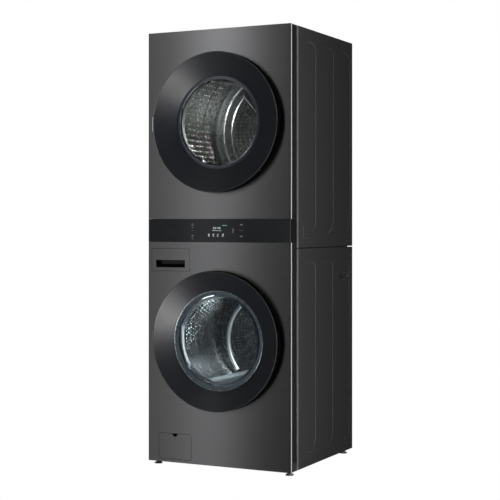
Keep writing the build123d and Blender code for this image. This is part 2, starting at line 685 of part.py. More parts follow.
def door_ring(axis_z, window_r, window_set, pockets):
    """Dished outer ring, hollow behind, with finger pockets in its edge."""
    def face(r):
        return dish(r, window_r, window_set)

    inner = DOOR_R - DOOR_WALL
    ring = turned(((DOOR_R, RING_BACK), (DOOR_R, -DOOR_PROUD + RIM_BEVEL),
                   (DOOR_R - RIM_BEVEL, -DOOR_PROUD), (window_r, -window_set),
                   (window_r, -window_set + DOOR_WALL), (inner, face(inner) + DOOR_WALL),
                   (inner, RING_BACK)), axis_z)
    pocket_r = DOOR_R - POCKET_DEPTH
    wall_r = pocket_r - POCKET_WALL
    for low, high in pockets:
        a = math.degrees(POCKET_WALL / DOOR_R)
        ring += turned_arc(((wall_r, face(wall_r) + 2), (inner + 1, face(inner + 1) + 2),
                            (inner + 1, RING_BACK), (wall_r, RING_BACK)),
                           axis_z, low - a, high + a)
        ring -= turned_arc(((pocket_r, face(pocket_r) + POCKET_LIP),
                            (DOOR_R + 1, -DOOR_PROUD + POCKET_LIP),
                            (DOOR_R + 1, RING_BACK + 1), (pocket_r, RING_BACK + 1)),
                           axis_z, low, high)
    return ring


def door_frame(axis_z, window_r, window_set, glass_r, pockets):
    """Rear cover of a door with the plug, the ledge for the glass and the latch hook."""
    def back(r):
        return dish(r, window_r, window_set) + DOOR_WALL + 0.1

    edge = OPENING_R + 6
    ledge_r = glass_r + 4
    frame = turned(((PLUG_IN_R, back(PLUG_IN_R)), (PLUG_R, back(PLUG_R)), (edge, RING_BACK),
                    (DOOR_R - 1, RING_BACK), (DOOR_R - 1, -DOOR_BACK), (edge - 2, -DOOR_BACK),
                    (edge - 2, -1.5), (PLUG_R, -1.5), (PLUG_R, PLUG_DEPTH),
                    (PLUG_IN_R, PLUG_DEPTH), (PLUG_IN_R, LEDGE_Y + LEDGE),
                    (ledge_r, LEDGE_Y + LEDGE), (ledge_r, LEDGE_Y), (PLUG_IN_R, LEDGE_Y)),
                   axis_z)
    pocket_r = DOOR_R - POCKET_DEPTH
    for low, high in pockets:
        frame -= turned_arc(((pocket_r, RING_BACK - 1), (DOOR_R + 1, RING_BACK - 1),
                             (DOOR_R + 1, 0), (pocket_r, 0)), axis_z, low, high)
    z0, z1 = axis_z - HOOK_HALF, axis_z + HOOK_HALF
    frame += block(HOOK_X, HOOK_X + HOOK_THICK, RING_BACK, HOOK_LENGTH, z0, z1)
    frame += block(HOOK_X, HOOK_X + HOOK_THICK + HOOK_TIP, HOOK_LENGTH - 4, HOOK_LENGTH, z0, z1)
    return frame


def washer_door_bowl():
    """Deep glass bowl that keeps the laundry off the gasket."""
    r, t, d, y = BOWL_R, BOWL_GLASS, BOWL_DEPTH, LEDGE_Y
    rim = PLUG_IN_R - FIT
    return turned(((rim, y - t), (rim, y), (r, y), (r - 3, d - 12), (r - 7, d - 4),
                   (r - 15, d), (0, d + 5), (0, d + 5 - t), (r - 17, d - t),
                   (r - 11, d - 7), (r - 3 - t, d - 14), (r - t, y - t)), WASHER_Z)


def dryer_door_window():
    """Shallow tempered pane of the dryer door."""
    r, t, d, y = PANE_R, PANE_GLASS, PANE_DEPTH, LEDGE_Y
    rim = PLUG_IN_R - FIT
    return turned(((rim, y - t), (rim, y), (r, y), (r - 2, d - 3), (r - 6, d),
                   (0, d), (0, d - t), (r - 7, d - t), (r - 2 - t, d - t - 2),
                   (r - t, y - t)), DRYER_Z)


def hinge_leaf(axis_z):
    """Leaf screwed to the front panel, with the pin and its two outer knuckles."""
    x = HINGE_X
    leaf = rod_z(HINGE_PIN_R, axis_z - HINGE_HALF, axis_z + HINGE_HALF, x, HINGE_Y)
    for side in (-1, 1):
        z0, z1 = sorted((side * (HINGE_ARM_HALF + FIT), side * HINGE_HALF))
        leaf += block(x - HINGE_R, x + HINGE_REACH, -HINGE_LEAF, 0, axis_z + z0, axis_z + z1)
        leaf += block(x - HINGE_R, x + HINGE_R, HINGE_Y, 0, axis_z + z0, axis_z + z1)
        leaf += rod_z(HINGE_R, axis_z + z0, axis_z + z1, x, HINGE_Y)
    return leaf


def hinge_arm(axis_z):
    """Moving half of a hinge: barrel, web and the plate screwed to the door."""
    x, h = HINGE_X, HINGE_ARM_HALF
    back = -DOOR_BACK + HINGE_ARM_PLATE
    arm = rod_z(HINGE_R, axis_z - h, axis_z + h, x, HINGE_Y)
    arm += block(x - 3, x + 2, HINGE_Y, back, axis_z - h, axis_z + h)
    arm += block(x - 3, x + HINGE_REACH, -DOOR_BACK, back, axis_z - h, axis_z + h)
    return arm - rod_z(HINGE_PIN_R + RUN, axis_z - h - 1, axis_z + h + 1, x, HINGE_Y)


def door_lock(axis_z):
    """Lock body behind the front panel that takes the door's hook."""
    x0 = HOOK_X - 4
    lock = block(x0, LOCK_X1, SHEET, SHEET + LOCK_DEPTH,
                 axis_z - LOCK_HALF, axis_z + LOCK_HALF)
    return lock - block(HOOK_X - 2, HOOK_X + HOOK_THICK + HOOK_TIP + 7, 0, HOOK_LENGTH + 8,
                        axis_z - HOOK_HALF - 6, axis_z + HOOK_HALF + 6)


# ---------------------------------------------------------------- drawer and dispenser

def drawer_front():
    """Drawer front with a finger slot across its lower part."""
    front = rounded_plate(DRAWER_X0, DRAWER_X1, 0, DRAWER_FRONT_THICK,
                          DRAWER_Z0, DRAWER_Z1, DRAWER_CORNER_R)
    z0 = DRAWER_Z0 + SLOT_RISE
    front -= rounded_plate(SLOT_X0, SLOT_X1, -1, SLOT_DEPTH, z0, z0 + SLOT_HEIGHT, 3.0)
    return front


def drawer_tray():
    """Tray with a main-wash well, a softener well and a pre-wash well."""
    y0, y1 = DRAWER_FRONT_THICK, DRAWER_FRONT_THICK + TRAY_LENGTH
    z0 = DRAWER_Z0 + 1
    z1 = z0 + TRAY_HEIGHT
    s = TRAY_SHELL
    tray = block(TRAY_X0, TRAY_X1, y0, y1, z0, z1)
    third = (TRAY_X1 - TRAY_X0 - 4 * s) / 3
    middle = (y0 + y1) / 2
    for i, (wy0, wy1) in enumerate(((y0 + s, y1 - s), (y0 + s, middle), (y0 + s, y1 - s))):
        x = TRAY_X0 + s + i * (third + s)
        tray -= block(x, x + third, wy0, wy1, z0 + s, z1 + 1)
    x = TRAY_X0 + s + third + s
    tray -= block(x, x + third, middle + s, y1 - s, z0 + s, z1 + 1)
    return tray


def dispenser_housing():
    """Fixed box round the tray with the fill hose down to the tub."""
    s, y0 = DISPENSER_SHELL, PANEL_RETURN - 1
    y1 = y0 + DISPENSER_LENGTH
    x0, x1 = TRAY_X0 - 0.5 - s, TRAY_X1 + 0.5 + s
    z0 = DRAWER_Z0 - s - 0.5
    box = block(x0, x1, y0, y1, z0, RAIL_Z)
    box -= block(x0 + s, x1 - s, y0 - 1, y1 - s, z0 + s, RAIL_Z - s)
    down = rod_z(FILL_HOSE_R, WASHER_Z, z0, FILL_HOSE_X, FILL_HOSE_Y)
    down -= rod_z(FILL_HOSE_R - s, WASHER_Z - 1, z0 + 5, FILL_HOSE_X, FILL_HOSE_Y)
    down -= rod_y(TUB_R + FIT, 0, CABINET_DEPTH, 0, WASHER_Z)
    outlet = rod_z(FILL_HOSE_R - s, z0 - 1, z0 + s + 1, FILL_HOSE_X, FILL_HOSE_Y)
    return box + down - outlet


def inlet_valves():
    """Hot and cold solenoid valves and the hose to the dispenser."""
    x0, x1 = VALVE_XS[0] - 20, VALVE_XS[1] + 20
    y1 = BACK_Y - SHEET
    body = block(x0, x1, y1 - VALVE_DEPTH, y1, VALVE_Z - 18, VALVE_Z + 18)
    for x in VALVE_XS:
        body += rod_y(VALVE_THREAD_R, y1 - 1, CABINET_DEPTH + VALVE_THREAD, x, VALVE_Z)
        body -= rod_y(8.0, y1, CABINET_DEPTH + VALVE_THREAD + 1, x, VALVE_Z)
        body += rod_z(14.0, VALVE_Z - 50, VALVE_Z - 18, x, y1 - VALVE_DEPTH / 2)
    top = VALVE_Z + 10
    hose_end = PANEL_RETURN - 1 + DISPENSER_LENGTH
    start_y = y1 - VALVE_DEPTH
    path = ((VALVE_XS[0], start_y, top), (VALVE_XS[0], start_y - 60, top),
            (TRAY_X1 - 30, hose_end + 60, top), (TRAY_X1 - 30, hose_end, top))
    return [body, hose(path, 30, VALVE_HOSE_R, VALVE_HOSE_R - 2)]


# ---------------------------------------------------------------- flap and pump

def filter_flap():
    """Service flap with a finger notch, turning on a pin along its lower edge."""
    z1 = FLAP_Z0 + FLAP_HEIGHT
    flap = rounded_plate(FLAP_X0, FLAP_X1, 0, FLAP_THICK, FLAP_Z0, z1, FLAP_CORNER_R)
    half = FLAP_NOTCH_WIDTH / 2
    flap -= rod_y(half, -1, FLAP_THICK + 1, FLAP_X, z1 - FLAP_NOTCH_DEPTH + half)
    flap -= block(FLAP_X - half, FLAP_X + half, -1, FLAP_THICK + 1,
                  z1 - FLAP_NOTCH_DEPTH + half, z1 + 1)
    end = FLAP_GAP + FLAP_EAR
    flap += rod_x(FLAP_PIN_R, FLAP_X0 - end, FLAP_X1 + end, FLAP_PIN_Y, FLAP_Z0 + FLAP_PIN_RISE)
    return flap


def drain_pump():
    """Pump with its filter chamber, the sump hose and the hose to the rear outlet."""
    x, z = FLAP_X, PUMP_Z
    chamber = rod_y(PUMP_R, PUMP_Y0, PUMP_Y1, x, z)
    chamber += block(x - PUMP_R, x + PUMP_R, PUMP_Y0 + 20, PUMP_Y1, PLATE_TOP, z)
    chamber += rod_y(PUMP_MOTOR_R, PUMP_Y1, PUMP_Y1 + PUMP_MOTOR_LENGTH, x, z)
    inlet_x, inlet_y = x + PUMP_R + 6, PUMP_INLET_Y
    chamber += rod_x(SUMP_HOSE_R, x, inlet_x, inlet_y, z)
    chamber -= rod_y(PUMP_R - PUMP_WALL, PUMP_Y0 - 1, PUMP_Y1 - PUMP_WALL, x, z)
    chamber -= rod_x(SUMP_HOSE_R - 4, x, inlet_x + 1, inlet_y, z)
    sump_z = WASHER_Z - TUB_R - SUMP_DROP
    sump = hose(((SUMP_X, SUMP_Y, sump_z), (SUMP_X, SUMP_Y, z), (SUMP_X, inlet_y, z),
                 (inlet_x, inlet_y, z)), SUMP_HOSE_BEND, SUMP_HOSE_R, SUMP_HOSE_R - 3)
    side = x - PUMP_MOTOR_R + 2
    out_y = PUMP_Y1 + 35
    rise_y = ROTOR_Y1 + DRAIN_R
    end_y = CABINET_DEPTH + DRAIN_SPIGOT
    drain = hose(((side, out_y, z), (DRAIN_X, out_y, z), (DRAIN_X, rise_y, z + 20),
                  (DRAIN_X, rise_y, DRAIN_Z), (DRAIN_X, end_y, DRAIN_Z)), 14,
                 DRAIN_R, DRAIN_R - 2.5)
    drain -= rod_y(PUMP_MOTOR_R, PUMP_Y1, PUMP_Y1 + PUMP_MOTOR_LENGTH, x, z)
    return [chamber, sump, drain]


def drain_filter():
    """Screw-in pump filter: grip, cap and strainer."""
    x, z = FLAP_X, PUMP_Z
    bore = PUMP_R - PUMP_WALL
    cap = rod_y(FILTER_CAP_R, FILTER_CAP_Y, PUMP_Y0 - FIT, x, z)
    cap += block(x - 22, x + 22, FILTER_GRIP_Y, FILTER_CAP_Y, z - 5, z + 5)
    cap += rod_y(bore - RUN, PUMP_Y0 - 1, PUMP_Y0 + 20, x, z)
    end = PUMP_Y0 + 20 + STRAINER_LENGTH
    strainer = tube_y(STRAINER_R, STRAINER_R - 2.5, PUMP_Y0 + 19, end, x, z)
    for i in range(4):
        y = PUMP_Y0 + 28 + 14 * i
        strainer -= block(x - 40, x + 40, y, y + 7, z - 9, z + 9)
        strainer -= block(x - 9, x + 9, y, y + 7, z - 40, z + 40)
    return cap + strainer


# ---------------------------------------------------------------- washer inside

def ear(x, y, z, reach):
    """Upright lug on the tub, trimmed to the tub wall."""
    lug = block(x - EAR_WIDTH / 2, x + EAR_WIDTH / 2, y - 4, y + 4, min(z, z + reach),
                max(z, z + reach))
    return lug - rod_y(TUB_R - 1, 0, CABINET_DEPTH, 0, WASHER_Z)


def tub_height(x):
    """Half height of the tub's outer wall at the distance x from its axis."""
    return math.sqrt(TUB_R ** 2 - x ** 2)


def tub_front():
    """Front half of the outer tub: wall, neck for the gasket, clamp flange, sump outlet."""
    r, t, y0, y1 = TUB_R, TUB_WALL, TUB_FRONT_Y, TUB_SPLIT_Y
    tub = turned(((TUB_NECK_R, y0 - TUB_NECK), (TUB_NECK_R, y0), (r, y0), (r, y1 - 8),
                  (r + TUB_CLAMP, y1 - 8), (r + TUB_CLAMP, y1), (r - t, y1), (r - t, y0 + t),
                  (TUB_NECK_R - t, y0 + t), (TUB_NECK_R - t, y0 - TUB_NECK)), WASHER_Z)
    for side in (-1, 1):
        low = tub_height(DAMPER_X)
        tub += ear(side * DAMPER_X, DAMPER_YS[0], WASHER_Z - low + 20, -38)
    x, y = SUMP_X, SUMP_Y
    floor = WASHER_Z - TUB_R
    tub += rod_z(SUMP_HOSE_R, floor - SUMP_DROP, floor + 26, x, y) \
        - rod_y(TUB_R - t, y0, y1, 0, WASHER_Z)
    return tub - rod_z(SUMP_HOSE_R - 3, floor - SUMP_DROP - 1, floor + 50, x, y)


def tub_rear():
    """Rear half of the outer tub with ribs and the bearing hub."""
    r, t, y0, y1 = TUB_R, TUB_WALL, TUB_SPLIT_Y, TUB_REAR_Y
    bore = SHAFT_R + RUN
    tub = turned(((r, y0 + 8), (r + TUB_CLAMP, y0 + 8), (r + TUB_CLAMP, y0), (r - t, y0),
                  (r - t, y1 - t), (bore, y1 - t), (bore, y1 + HUB_LENGTH),
                  (HUB_R, y1 + HUB_LENGTH), (HUB_R, y1), (r, y1)), WASHER_Z)
    for i in range(12):
        rib = Rot(0, 30 * i + 15, 0) * block(ROTOR_R + 8, r - 2, y1 - 1, y1 + 12, -2, 2)
        tub += Pos(0, 0, WASHER_Z) * rib
    for side in (-1, 1):
        high = tub_height(SPRING_X)
        tub += ear(side * SPRING_X, SPRING_Y, WASHER_Z + high - 20, 42)
        low = tub_height(DAMPER_X)
        tub += ear(side * DAMPER_X, DAMPER_YS[1], WASHER_Z - low + 20, -38)
    return tub


def counterweights():
    """Two cast arcs bolted to the front of the tub."""
    y1 = TUB_FRONT_Y
    outline = ((WEIGHT_IN_R, y1 - WEIGHT_THICK), (WEIGHT_R, y1 - WEIGHT_THICK),
               (WEIGHT_R, y1), (WEIGHT_IN_R, y1))
    half = WEIGHT_SPAN / 2
    upper = turned_arc(outline, WASHER_Z, 90 - half, 90 + half)
    lower = turned_arc(outline, WASHER_Z, 270 - half, 270 + half)
    return [upper, lower]


def door_gasket():
    """Rubber bellows from the front panel's lip to the neck of the tub."""
    w = GASKET_WALL
    lip, neck = OPENING_R - w, TUB_NECK_R + FIT
    end = TUB_FRONT_Y - FIT
    fold_y = end - 30
    profile = ((lip, 2), (OPENING_R - FIT, 2), (OPENING_R - FIT, 25 + w),
               (GASKET_LIP_R + w, 25 + w), (GASKET_LIP_R + w, 52 - w), (neck + w + 2, 52 - w),
               (neck + w + 2, fold_y), (neck + w, fold_y + 6), (neck + w, end), (neck, end),
               (neck, fold_y + 4), (neck + 2, fold_y - 1), (neck + 2, 52), (GASKET_LIP_R, 52),
               (GASKET_LIP_R, 25), (lip, 25))
    return turned(profile, WASHER_Z)


def lifter(r, height, width, y0, y1):
    """Rounded drum lifter that stands inward from the radius r at the lower side."""
    section = Polyline((-width / 2, 0), (width / 2, 0), (width / 7, height),
                       (-width / 7, height), close=True)
    face = make_face(section)
    face = fillet(face.vertices().group_by(Axis.Y)[-1], width / 8)
    bar = Pos(0, y1, -r) * Rot(90, 0, 0) * extrude(face, y1 - y0)
    return bar - tube_y(r + 50, r, y0 - 1, y1 + 1)


def lifters(r, height, width, y0, y1, axis_z):
    """Lifters evenly spaced round a drum."""
    return [Pos(0, 0, axis_z) * Rot(0, 360 / LIFTER_COUNT * i + LIFTER_TURN, 0)
            * lifter(r, height, width, y0, y1) for i in range(LIFTER_COUNT)]


def washer_drum():
    """Stainless drum: rolled mouth, side wall and rear wall."""
    r, t, y0, y1 = DRUM_R, DRUM_SHELL, DRUM_FRONT_Y, DRUM_REAR_Y
    m = DRUM_MOUTH_R
    return turned(((m, y0 + 12), (m, y0), (r, y0), (r, y1), (0, y1), (0, y1 - t),
                   (r - t, y1 - t), (r - t, y0 + t), (m + t, y0 + t), (m + t, y0 + 12)), WASHER_Z)


def washer_lifters():
    sink = DRUM_R - DRUM_SHELL
    return lifters(sink, LIFTER_HEIGHT, LIFTER_WIDTH, DRUM_FRONT_Y + LIFTER_END,
                   DRUM_REAR_Y - DRUM_SHELL, WASHER_Z)


def drum_shaft():
    """Cast three-arm spider with the drive shaft."""
    y0 = DRUM_REAR_Y
    y1 = y0 + SPIDER_THICK
    spider = rod_y(48.0, y0, y1)
    for i in range(3):
        arm = block(0, SPIDER_ARM_R, y0, y0 + 18, -SPIDER_ARM_WIDTH / 2, SPIDER_ARM_WIDTH / 2)
        spider += Rot(0, 120 * i + 40, 0) * arm
    spider += rod_y(SHAFT_R, y1 - 1, ROTOR_Y1 + 12)
    return Pos(0, 0, WASHER_Z) * spider


def motor_rotor():
    """Steel cup with a ring of magnets, pressed on the end of the shaft."""
    y0, y1, w = TUB_REAR_Y + 6, ROTOR_Y1, ROTOR_WALL
    return turned(((SHAFT_R, y1 - w), (MAGNET_R, y1 - w), (MAGNET_R, y0), (ROTOR_R, y0),
                   (ROTOR_R, y1), (SHAFT_R, y1)), WASHER_Z)


def motor_stator():
    """Wound stator ring on the rear of the tub."""
    y0 = TUB_REAR_Y
    y1 = TUB_REAR_Y + HUB_LENGTH - 2
    ring = tube_y(HUB_R + 46, HUB_R, y0, y1)
    for i in range(STATOR_TEETH):
        tooth = block(HUB_R + 44, STATOR_R, y0 + 3, y1, -6, 6)
        ring += Rot(0, 360 / STATOR_TEETH * i, 0) * tooth
    return Pos(0, 0, WASHER_Z) * ring


def tub_suspension():
    """Two hanging springs above the tub and four friction dampers below it."""
    pieces = []
    for side in (-1, 1):
        x = side * SPRING_X
        bottom = WASHER_Z + tub_height(SPRING_X) + 22 + FIT
        top = SEAM_Z - 25 - FIT
        height = top - bottom - 2 * SPRING_WIRE_R
        coil_path = Helix(height / SPRING_TURNS, height, SPRING_R)
        section = Plane(origin=coil_path @ 0, z_dir=coil_path % 0) * Circle(SPRING_WIRE_R)
        coil = sweep(section, coil_path, is_frenet=True)
        pieces.append(Pos(x, SPRING_Y, bottom + SPRING_WIRE_R) * coil)
        x = side * DAMPER_X
        for y in DAMPER_YS:
            ear_z = WASHER_Z - tub_height(DAMPER_X) - 18
            barrel_top = PLATE_TOP + (ear_z - PLATE_TOP) * 0.6
            damper = rod_z(DAMPER_R, PLATE_TOP, barrel_top, x, y)
            damper += rod_z(DAMPER_ROD_R, barrel_top, ear_z, x, y)
            pieces.append(damper)
    return pieces


# ---------------------------------------------------------------- dryer inside

def lint_chute():
    """Outer body of the chute under the door opening."""
    return block(-CHUTE_HALF, CHUTE_HALF, CHUTE_Y0 + 1, BULKHEAD_FRONT_Y,
                 CHUTE_Z0, DRYER_Z - MOUTH_R + 20)


def dryer_front_bulkhead():
    """Front wall of the dryer: throat, lint chute, blower passage and drum flange."""
    y0, y1 = BULKHEAD_FRONT_Y, BULKHEAD_FRONT_Y + BULKHEAD
    x = INNER - BULKHEAD_MARGIN
    w = CHUTE_WALL
    step, t = THROAT_STEP_Y, THROAT_WALL
    wall = block(-x, x, y0, y1, DECK_Z, HEIGHT - BULKHEAD_MARGIN)
    wall += tube_y(FLANGE_R, FLANGE_R - t, y1 - 1, DRYER_DRUM_Y0 + DRUM_OVERLAP, 0, DRYER_Z)
    wall += lint_chute()
    passage_x0, passage_x1 = MOTOR_X - BLOWER_EYE_R - 12, MOTOR_X + BLOWER_EYE_R + 12
    passage_top = DRYER_Z - DRYER_DRUM_R - 8
    eye_z0 = MOTOR_Z - BLOWER_EYE_R - 12
    wall += block(passage_x0, passage_x1, y1 - 1, BLOWER_Y0, eye_z0, passage_top)
    wall -= rod_y(MOUTH_R, CHUTE_Y0, y1 + 1, 0, DRYER_Z)
    wall += turned(((THROAT_R - t, 2), (THROAT_R, 2), (THROAT_R, step + t),
                    (MOUTH_R + t, step + t), (MOUTH_R + t, y0 + 1), (MOUTH_R, y0 + 1),
                    (MOUTH_R, step), (THROAT_R - t, step)), DRYER_Z)
    slot_y0 = CHUTE_Y0 + 1 + w
    wall -= block(-CHUTE_HALF + w, CHUTE_HALF - w, slot_y0, y0 - w, CHUTE_Z0 + w,
                  DRYER_Z - MOUTH_R - t)
    slot = FILTER_HALF + FILTER_PLAY
    wall -= block(-slot, slot, slot_y0, y0 - w, CHUTE_Z0 + w, DRYER_Z - MOUTH_R + 22)
    wall -= block(passage_x0 + w, CHUTE_HALF - w, y0 - w - 1, y1 + 1, CHUTE_Z0 + w,
                  passage_top - w)
    wall -= block(passage_x0 + w, passage_x1 - w, y1, BLOWER_Y0 - w, eye_z0 + w, passage_top - w)
    return wall - rod_y(BLOWER_EYE_R, BLOWER_Y0 - w - 1, BLOWER_Y0 + 1, MOTOR_X, MOTOR_Z)


def lint_filter():
    """Framed lint screen that lifts out of the chute."""
    y0 = CHUTE_Y0 + 1 + CHUTE_WALL + FILTER_PLAY
    y1 = y0 + FILTER_THICK
    z0 = CHUTE_Z0 + CHUTE_WALL
    z1 = DRYER_Z - MOUTH_R + 2
    b = FILTER_BAR
    frame = block(-FILTER_HALF, FILTER_HALF, y0, y1, z0, z1)
    frame -= block(-FILTER_HALF + b, FILTER_HALF - b, y0 - 1, y1 + 1, z0 + b, z1 - 3 * b)
    middle = (y0 + y1) / 2
    frame += block(-FILTER_HALF + b - 1, FILTER_HALF - b + 1, middle - FILTER_MESH / 2,
                   middle + FILTER_MESH / 2, z0 + b - 1, z1 - 3 * b + 1)
    frame += block(-b / 2, b / 2, y0 + 3, y1 - 3, z0 + b - 1, z1 - 3 * b + 1)
    return frame - block(-28, 28, y0 + 5, y1 - 5, z1 - 2 * b, z1 + 1)


def dryer_rear_bulkhead():
    """Rear wall of the dryer drum: flange, hot air vent and the roller pins."""
    y0, y1 = BULKHEAD_REAR_Y, BULKHEAD_REAR_Y + BULKHEAD
    x = INNER - BULKHEAD_MARGIN
    wall = block(-x, x, y0, y1, DECK_Z, HEIGHT - BULKHEAD_MARGIN)
    flange = tube_y(FLANGE_R, FLANGE_R - THROAT_WALL, DRYER_DRUM_Y1 - DRUM_OVERLAP, y0 + 1,
                    0, DRYER_Z)
    wall += flange
    holes = []
    for i in range(VENT_ROWS):
        r = VENT_R0 + (VENT_R1 - VENT_R0) * (i + 0.5) / VENT_ROWS
        count = int(2 * math.radians(VENT_HALF_ANGLE) * r / VENT_PITCH)
        for k in range(count):
            a = math.radians(VENT_HALF_ANGLE * (2 * (k + 0.5) / count - 1))
            holes.append(rod_y(VENT_HOLE_R, y0 - 1, y1 + 1, VENT_SIDE * r * math.cos(a),
                               DRYER_Z + r * math.sin(a)))
    wall -= holes
    wall -= rod_y(DUCT_R + 1, y0 - 1, y1 + 1, DUCT_X, DUCT_Z)
    for side in (-1, 1):
        px, pz = roller_place(side)
        wall += rod_y(ROLLER_PIN_R, ROLLER_Y0 - 4, y0 + 1, px, pz)
    return wall


def roller_place(side):
    """Axis of a drum roller: its x and z."""
    reach = DRYER_DRUM_R + FIT + ROLLER_R
    a = math.radians(ROLLER_ANGLE)
    return side * reach * math.sin(a), DRYER_Z - reach * math.cos(a)


def drum_roller(side):
    """Tyred roller that carries the rear of the drum."""
    x, z = roller_place(side)
    y0, y1 = ROLLER_Y0, ROLLER_Y0 + ROLLER_WIDTH
    roller = tube_y(ROLLER_R, ROLLER_PIN_R + RUN, y0, y1, x, z)
    groove = tube_y(ROLLER_R - 7, ROLLER_PIN_R + 8, y0 - 1, y0 + 6, x, z)
    return roller - groove


def dryer_drum():
    """Open steel cylinder of the dryer with two pressed stiffening grooves."""
    r, t = DRYER_DRUM_R, DRYER_DRUM_SHELL
    y0, y1 = DRYER_DRUM_Y0, DRYER_DRUM_Y1
    outline = [(r, y0)]
    inside = [(r - t, y0)]
    for y in (y0 + 110, y1 - 160):
        outline += [(r, y), (r - 4, y + 6), (r - 4, y + 14), (r, y + 20)]
        inside += [(r - t, y), (r - t - 4, y + 6), (r - t - 4, y + 14), (r - t, y + 20)]
    outline.append((r, y1))
    inside.append((r - t, y1))
    return turned(outline + inside[::-1], DRYER_Z)


def dryer_lifters():
    r = DRYER_DRUM_R - DRYER_DRUM_SHELL - 4
    return lifters(r, DRYER_LIFTER_HEIGHT, DRYER_LIFTER_WIDTH,
                   DRYER_DRUM_Y0 + DRUM_OVERLAP + 8, DRYER_DRUM_Y1 - DRUM_OVERLAP - 8, DRYER_Z)


def heater_duct():
    """Heater box behind the vent, with three bars of heating element."""
    y0 = BULKHEAD_REAR_Y + BULKHEAD
    y1 = y0 + HEATER_DEPTH
    z0, z1 = DRYER_Z - HEATER_BELOW, DRYER_Z + HEATER_ABOVE
    box = block(HEATER_X0, HEATER_X1, y0, y1, z0, z1)
    box -= block(HEATER_X0 + 2, HEATER_X1 - 2, y0 - 1, y1 - 2, z0 + 2, z1 - 2)
    pieces = [box]
    for i in range(3):
        pieces.append(rod_x(4, HEATER_X0 + 2, HEATER_X1 - 2, y0 + 32, z0 + 50 + 40 * i))
    return pieces


def blower_housing():
    """Blower scroll beside the motor, opening into the exhaust duct."""
    y0, y1, w = BLOWER_Y0, BLOWER_Y1, BLOWER_WALL
    x0, x1 = DUCT_X - DUCT_R - 2, MOTOR_X
    z0, z1 = MOTOR_Z - BLOWER_R, DUCT_Z + DUCT_R + 2
    shell = rod_y(BLOWER_R, y0, y1, MOTOR_X, MOTOR_Z) + block(x0, x1, y0, y1, z0, z1)
    core = rod_y(BLOWER_R - w, y0 + w, y1 - w, MOTOR_X, MOTOR_Z)
    core += block(x0 + w, x1, y0 + w, y1 - w, z0 + w, z1 - w)
    shell -= core
    shell -= rod_y(BLOWER_EYE_R, y0 - 1, y0 + w + 1, MOTOR_X, MOTOR_Z)
    shell -= rod_y(MOTOR_SHAFT_R + 1, y1 - w - 1, y1 + 1, MOTOR_X, MOTOR_Z)
    shell -= rod_y(DUCT_R - 1.5, y1 - w - 1, y1 + 1, DUCT_X, DUCT_Z)
    foot = block(x0 + 20, x0 + 50, y0 + 10, y1 - 10, DECK_Z, z0)
    return shell + foot + block(MOTOR_X - 15, MOTOR_X + 15, y0 + 10, y1 - 10, DECK_Z, z0 + 1)


def exhaust_duct():
    """Metal exhaust duct that ends in a slightly wider collar behind the cabinet."""
    duct = tube_y(DUCT_R - 0.8, DUCT_R - 2.0, BLOWER_Y1, CABINET_DEPTH + 1, DUCT_X, DUCT_Z)
    return duct + tube_y(DUCT_R, DUCT_R - 2.0, CABINET_DEPTH, CABINET_DEPTH + COLLAR_LENGTH,
                         DUCT_X, DUCT_Z)


def dryer_motor():
    """Drive motor on its cradle, and the bracket with the idler's pin."""
    motor = rod_y(MOTOR_R, MOTOR_Y0, MOTOR_Y1, MOTOR_X, MOTOR_Z)
    motor += block(MOTOR_X - 38, MOTOR_X + 38, MOTOR_Y0 + 12, MOTOR_Y1 - 12, DECK_Z, MOTOR_Z)
    motor -= rod_y(MOTOR_SHAFT_R + RUN, MOTOR_Y0 - 1, MOTOR_Y1 + 1, MOTOR_X, MOTOR_Z)
    y0 = BELT_Y0 + BELT_WIDTH + 4
    bracket = block(IDLER_X - 16, IDLER_X + 16, y0, y0 + 5, DECK_Z, IDLER_Z + 12)
    bracket += block(IDLER_X - 16, IDLER_X + 16, y0, y0 + 40, DECK_Z, DECK_Z + 4)
    bracket += rod_y(IDLER_PIN_R, BELT_Y0 - 4, y0, IDLER_X, IDLER_Z)
    return [motor, bracket]


def motor_shaft():
    """Motor shaft with the blower wheel in front and the belt pulley behind."""
    y0 = BLOWER_Y0 + 12
    disc = y0 + WHEEL_DEPTH
    belt, end = BELT_Y0 - 1, BELT_Y0 + BELT_WIDTH + 1
    r, hub, rim = MOTOR_SHAFT_R, 2 * MOTOR_SHAFT_R, PULLEY_R + 4
    profile = ((0, y0), (r, y0), (r, y0 + 6), (hub, y0 + 6), (hub, disc - 3), (WHEEL_R, disc - 3),
               (WHEEL_R, disc), (r, disc), (r, belt - 2), (rim, belt - 2), (rim, belt),
               (PULLEY_R, belt), (PULLEY_R, end), (rim, end), (rim, end + 2), (0, end + 2))
    shaft = turned(profile)
    for i in range(WHEEL_BLADES):
        blade = block(WHEEL_R - 13, WHEEL_R - 2, y0 + 1, disc - 2, -1, 1)
        shaft += Rot(0, 360 / WHEEL_BLADES * i, 0) * blade
    shaft += tube_y(WHEEL_R, WHEEL_R - 15, y0, y0 + 3)
    return Pos(MOTOR_X, 0, MOTOR_Z) * shaft


def idler_pulley():
    """Idler that keeps the belt tight."""
    return tube_y(IDLER_R, IDLER_PIN_R + RUN, BELT_Y0 - 2, BELT_Y0 + BELT_WIDTH + 2,
                  IDLER_X, IDLER_Z)


def belt_loop(gap):
    """Outline of the belt at a distance from drum, pulley and idler."""
    circles = ((0, DRYER_Z, DRYER_DRUM_R), (MOTOR_X, MOTOR_Z, PULLEY_R),
               (IDLER_X, IDLER_Z, IDLER_R))
    edges = [edge for x, z, r in circles for edge in (Pos(x, z) * Circle(r + gap)).edges()]
    return make_hull(edges)


def drive_belt():
    """Flat ribbed belt round the drum, the motor pulley and the idler."""
    section = belt_loop(FIT + BELT_THICK) - belt_loop(FIT)
    return extrude(Plane.XZ.offset(-BELT_Y0 - BELT_WIDTH) * section, BELT_WIDTH)


# ---------------------------------------------------------------- all the pieces

right_upper = upper_side()
right_lower = lower_side()

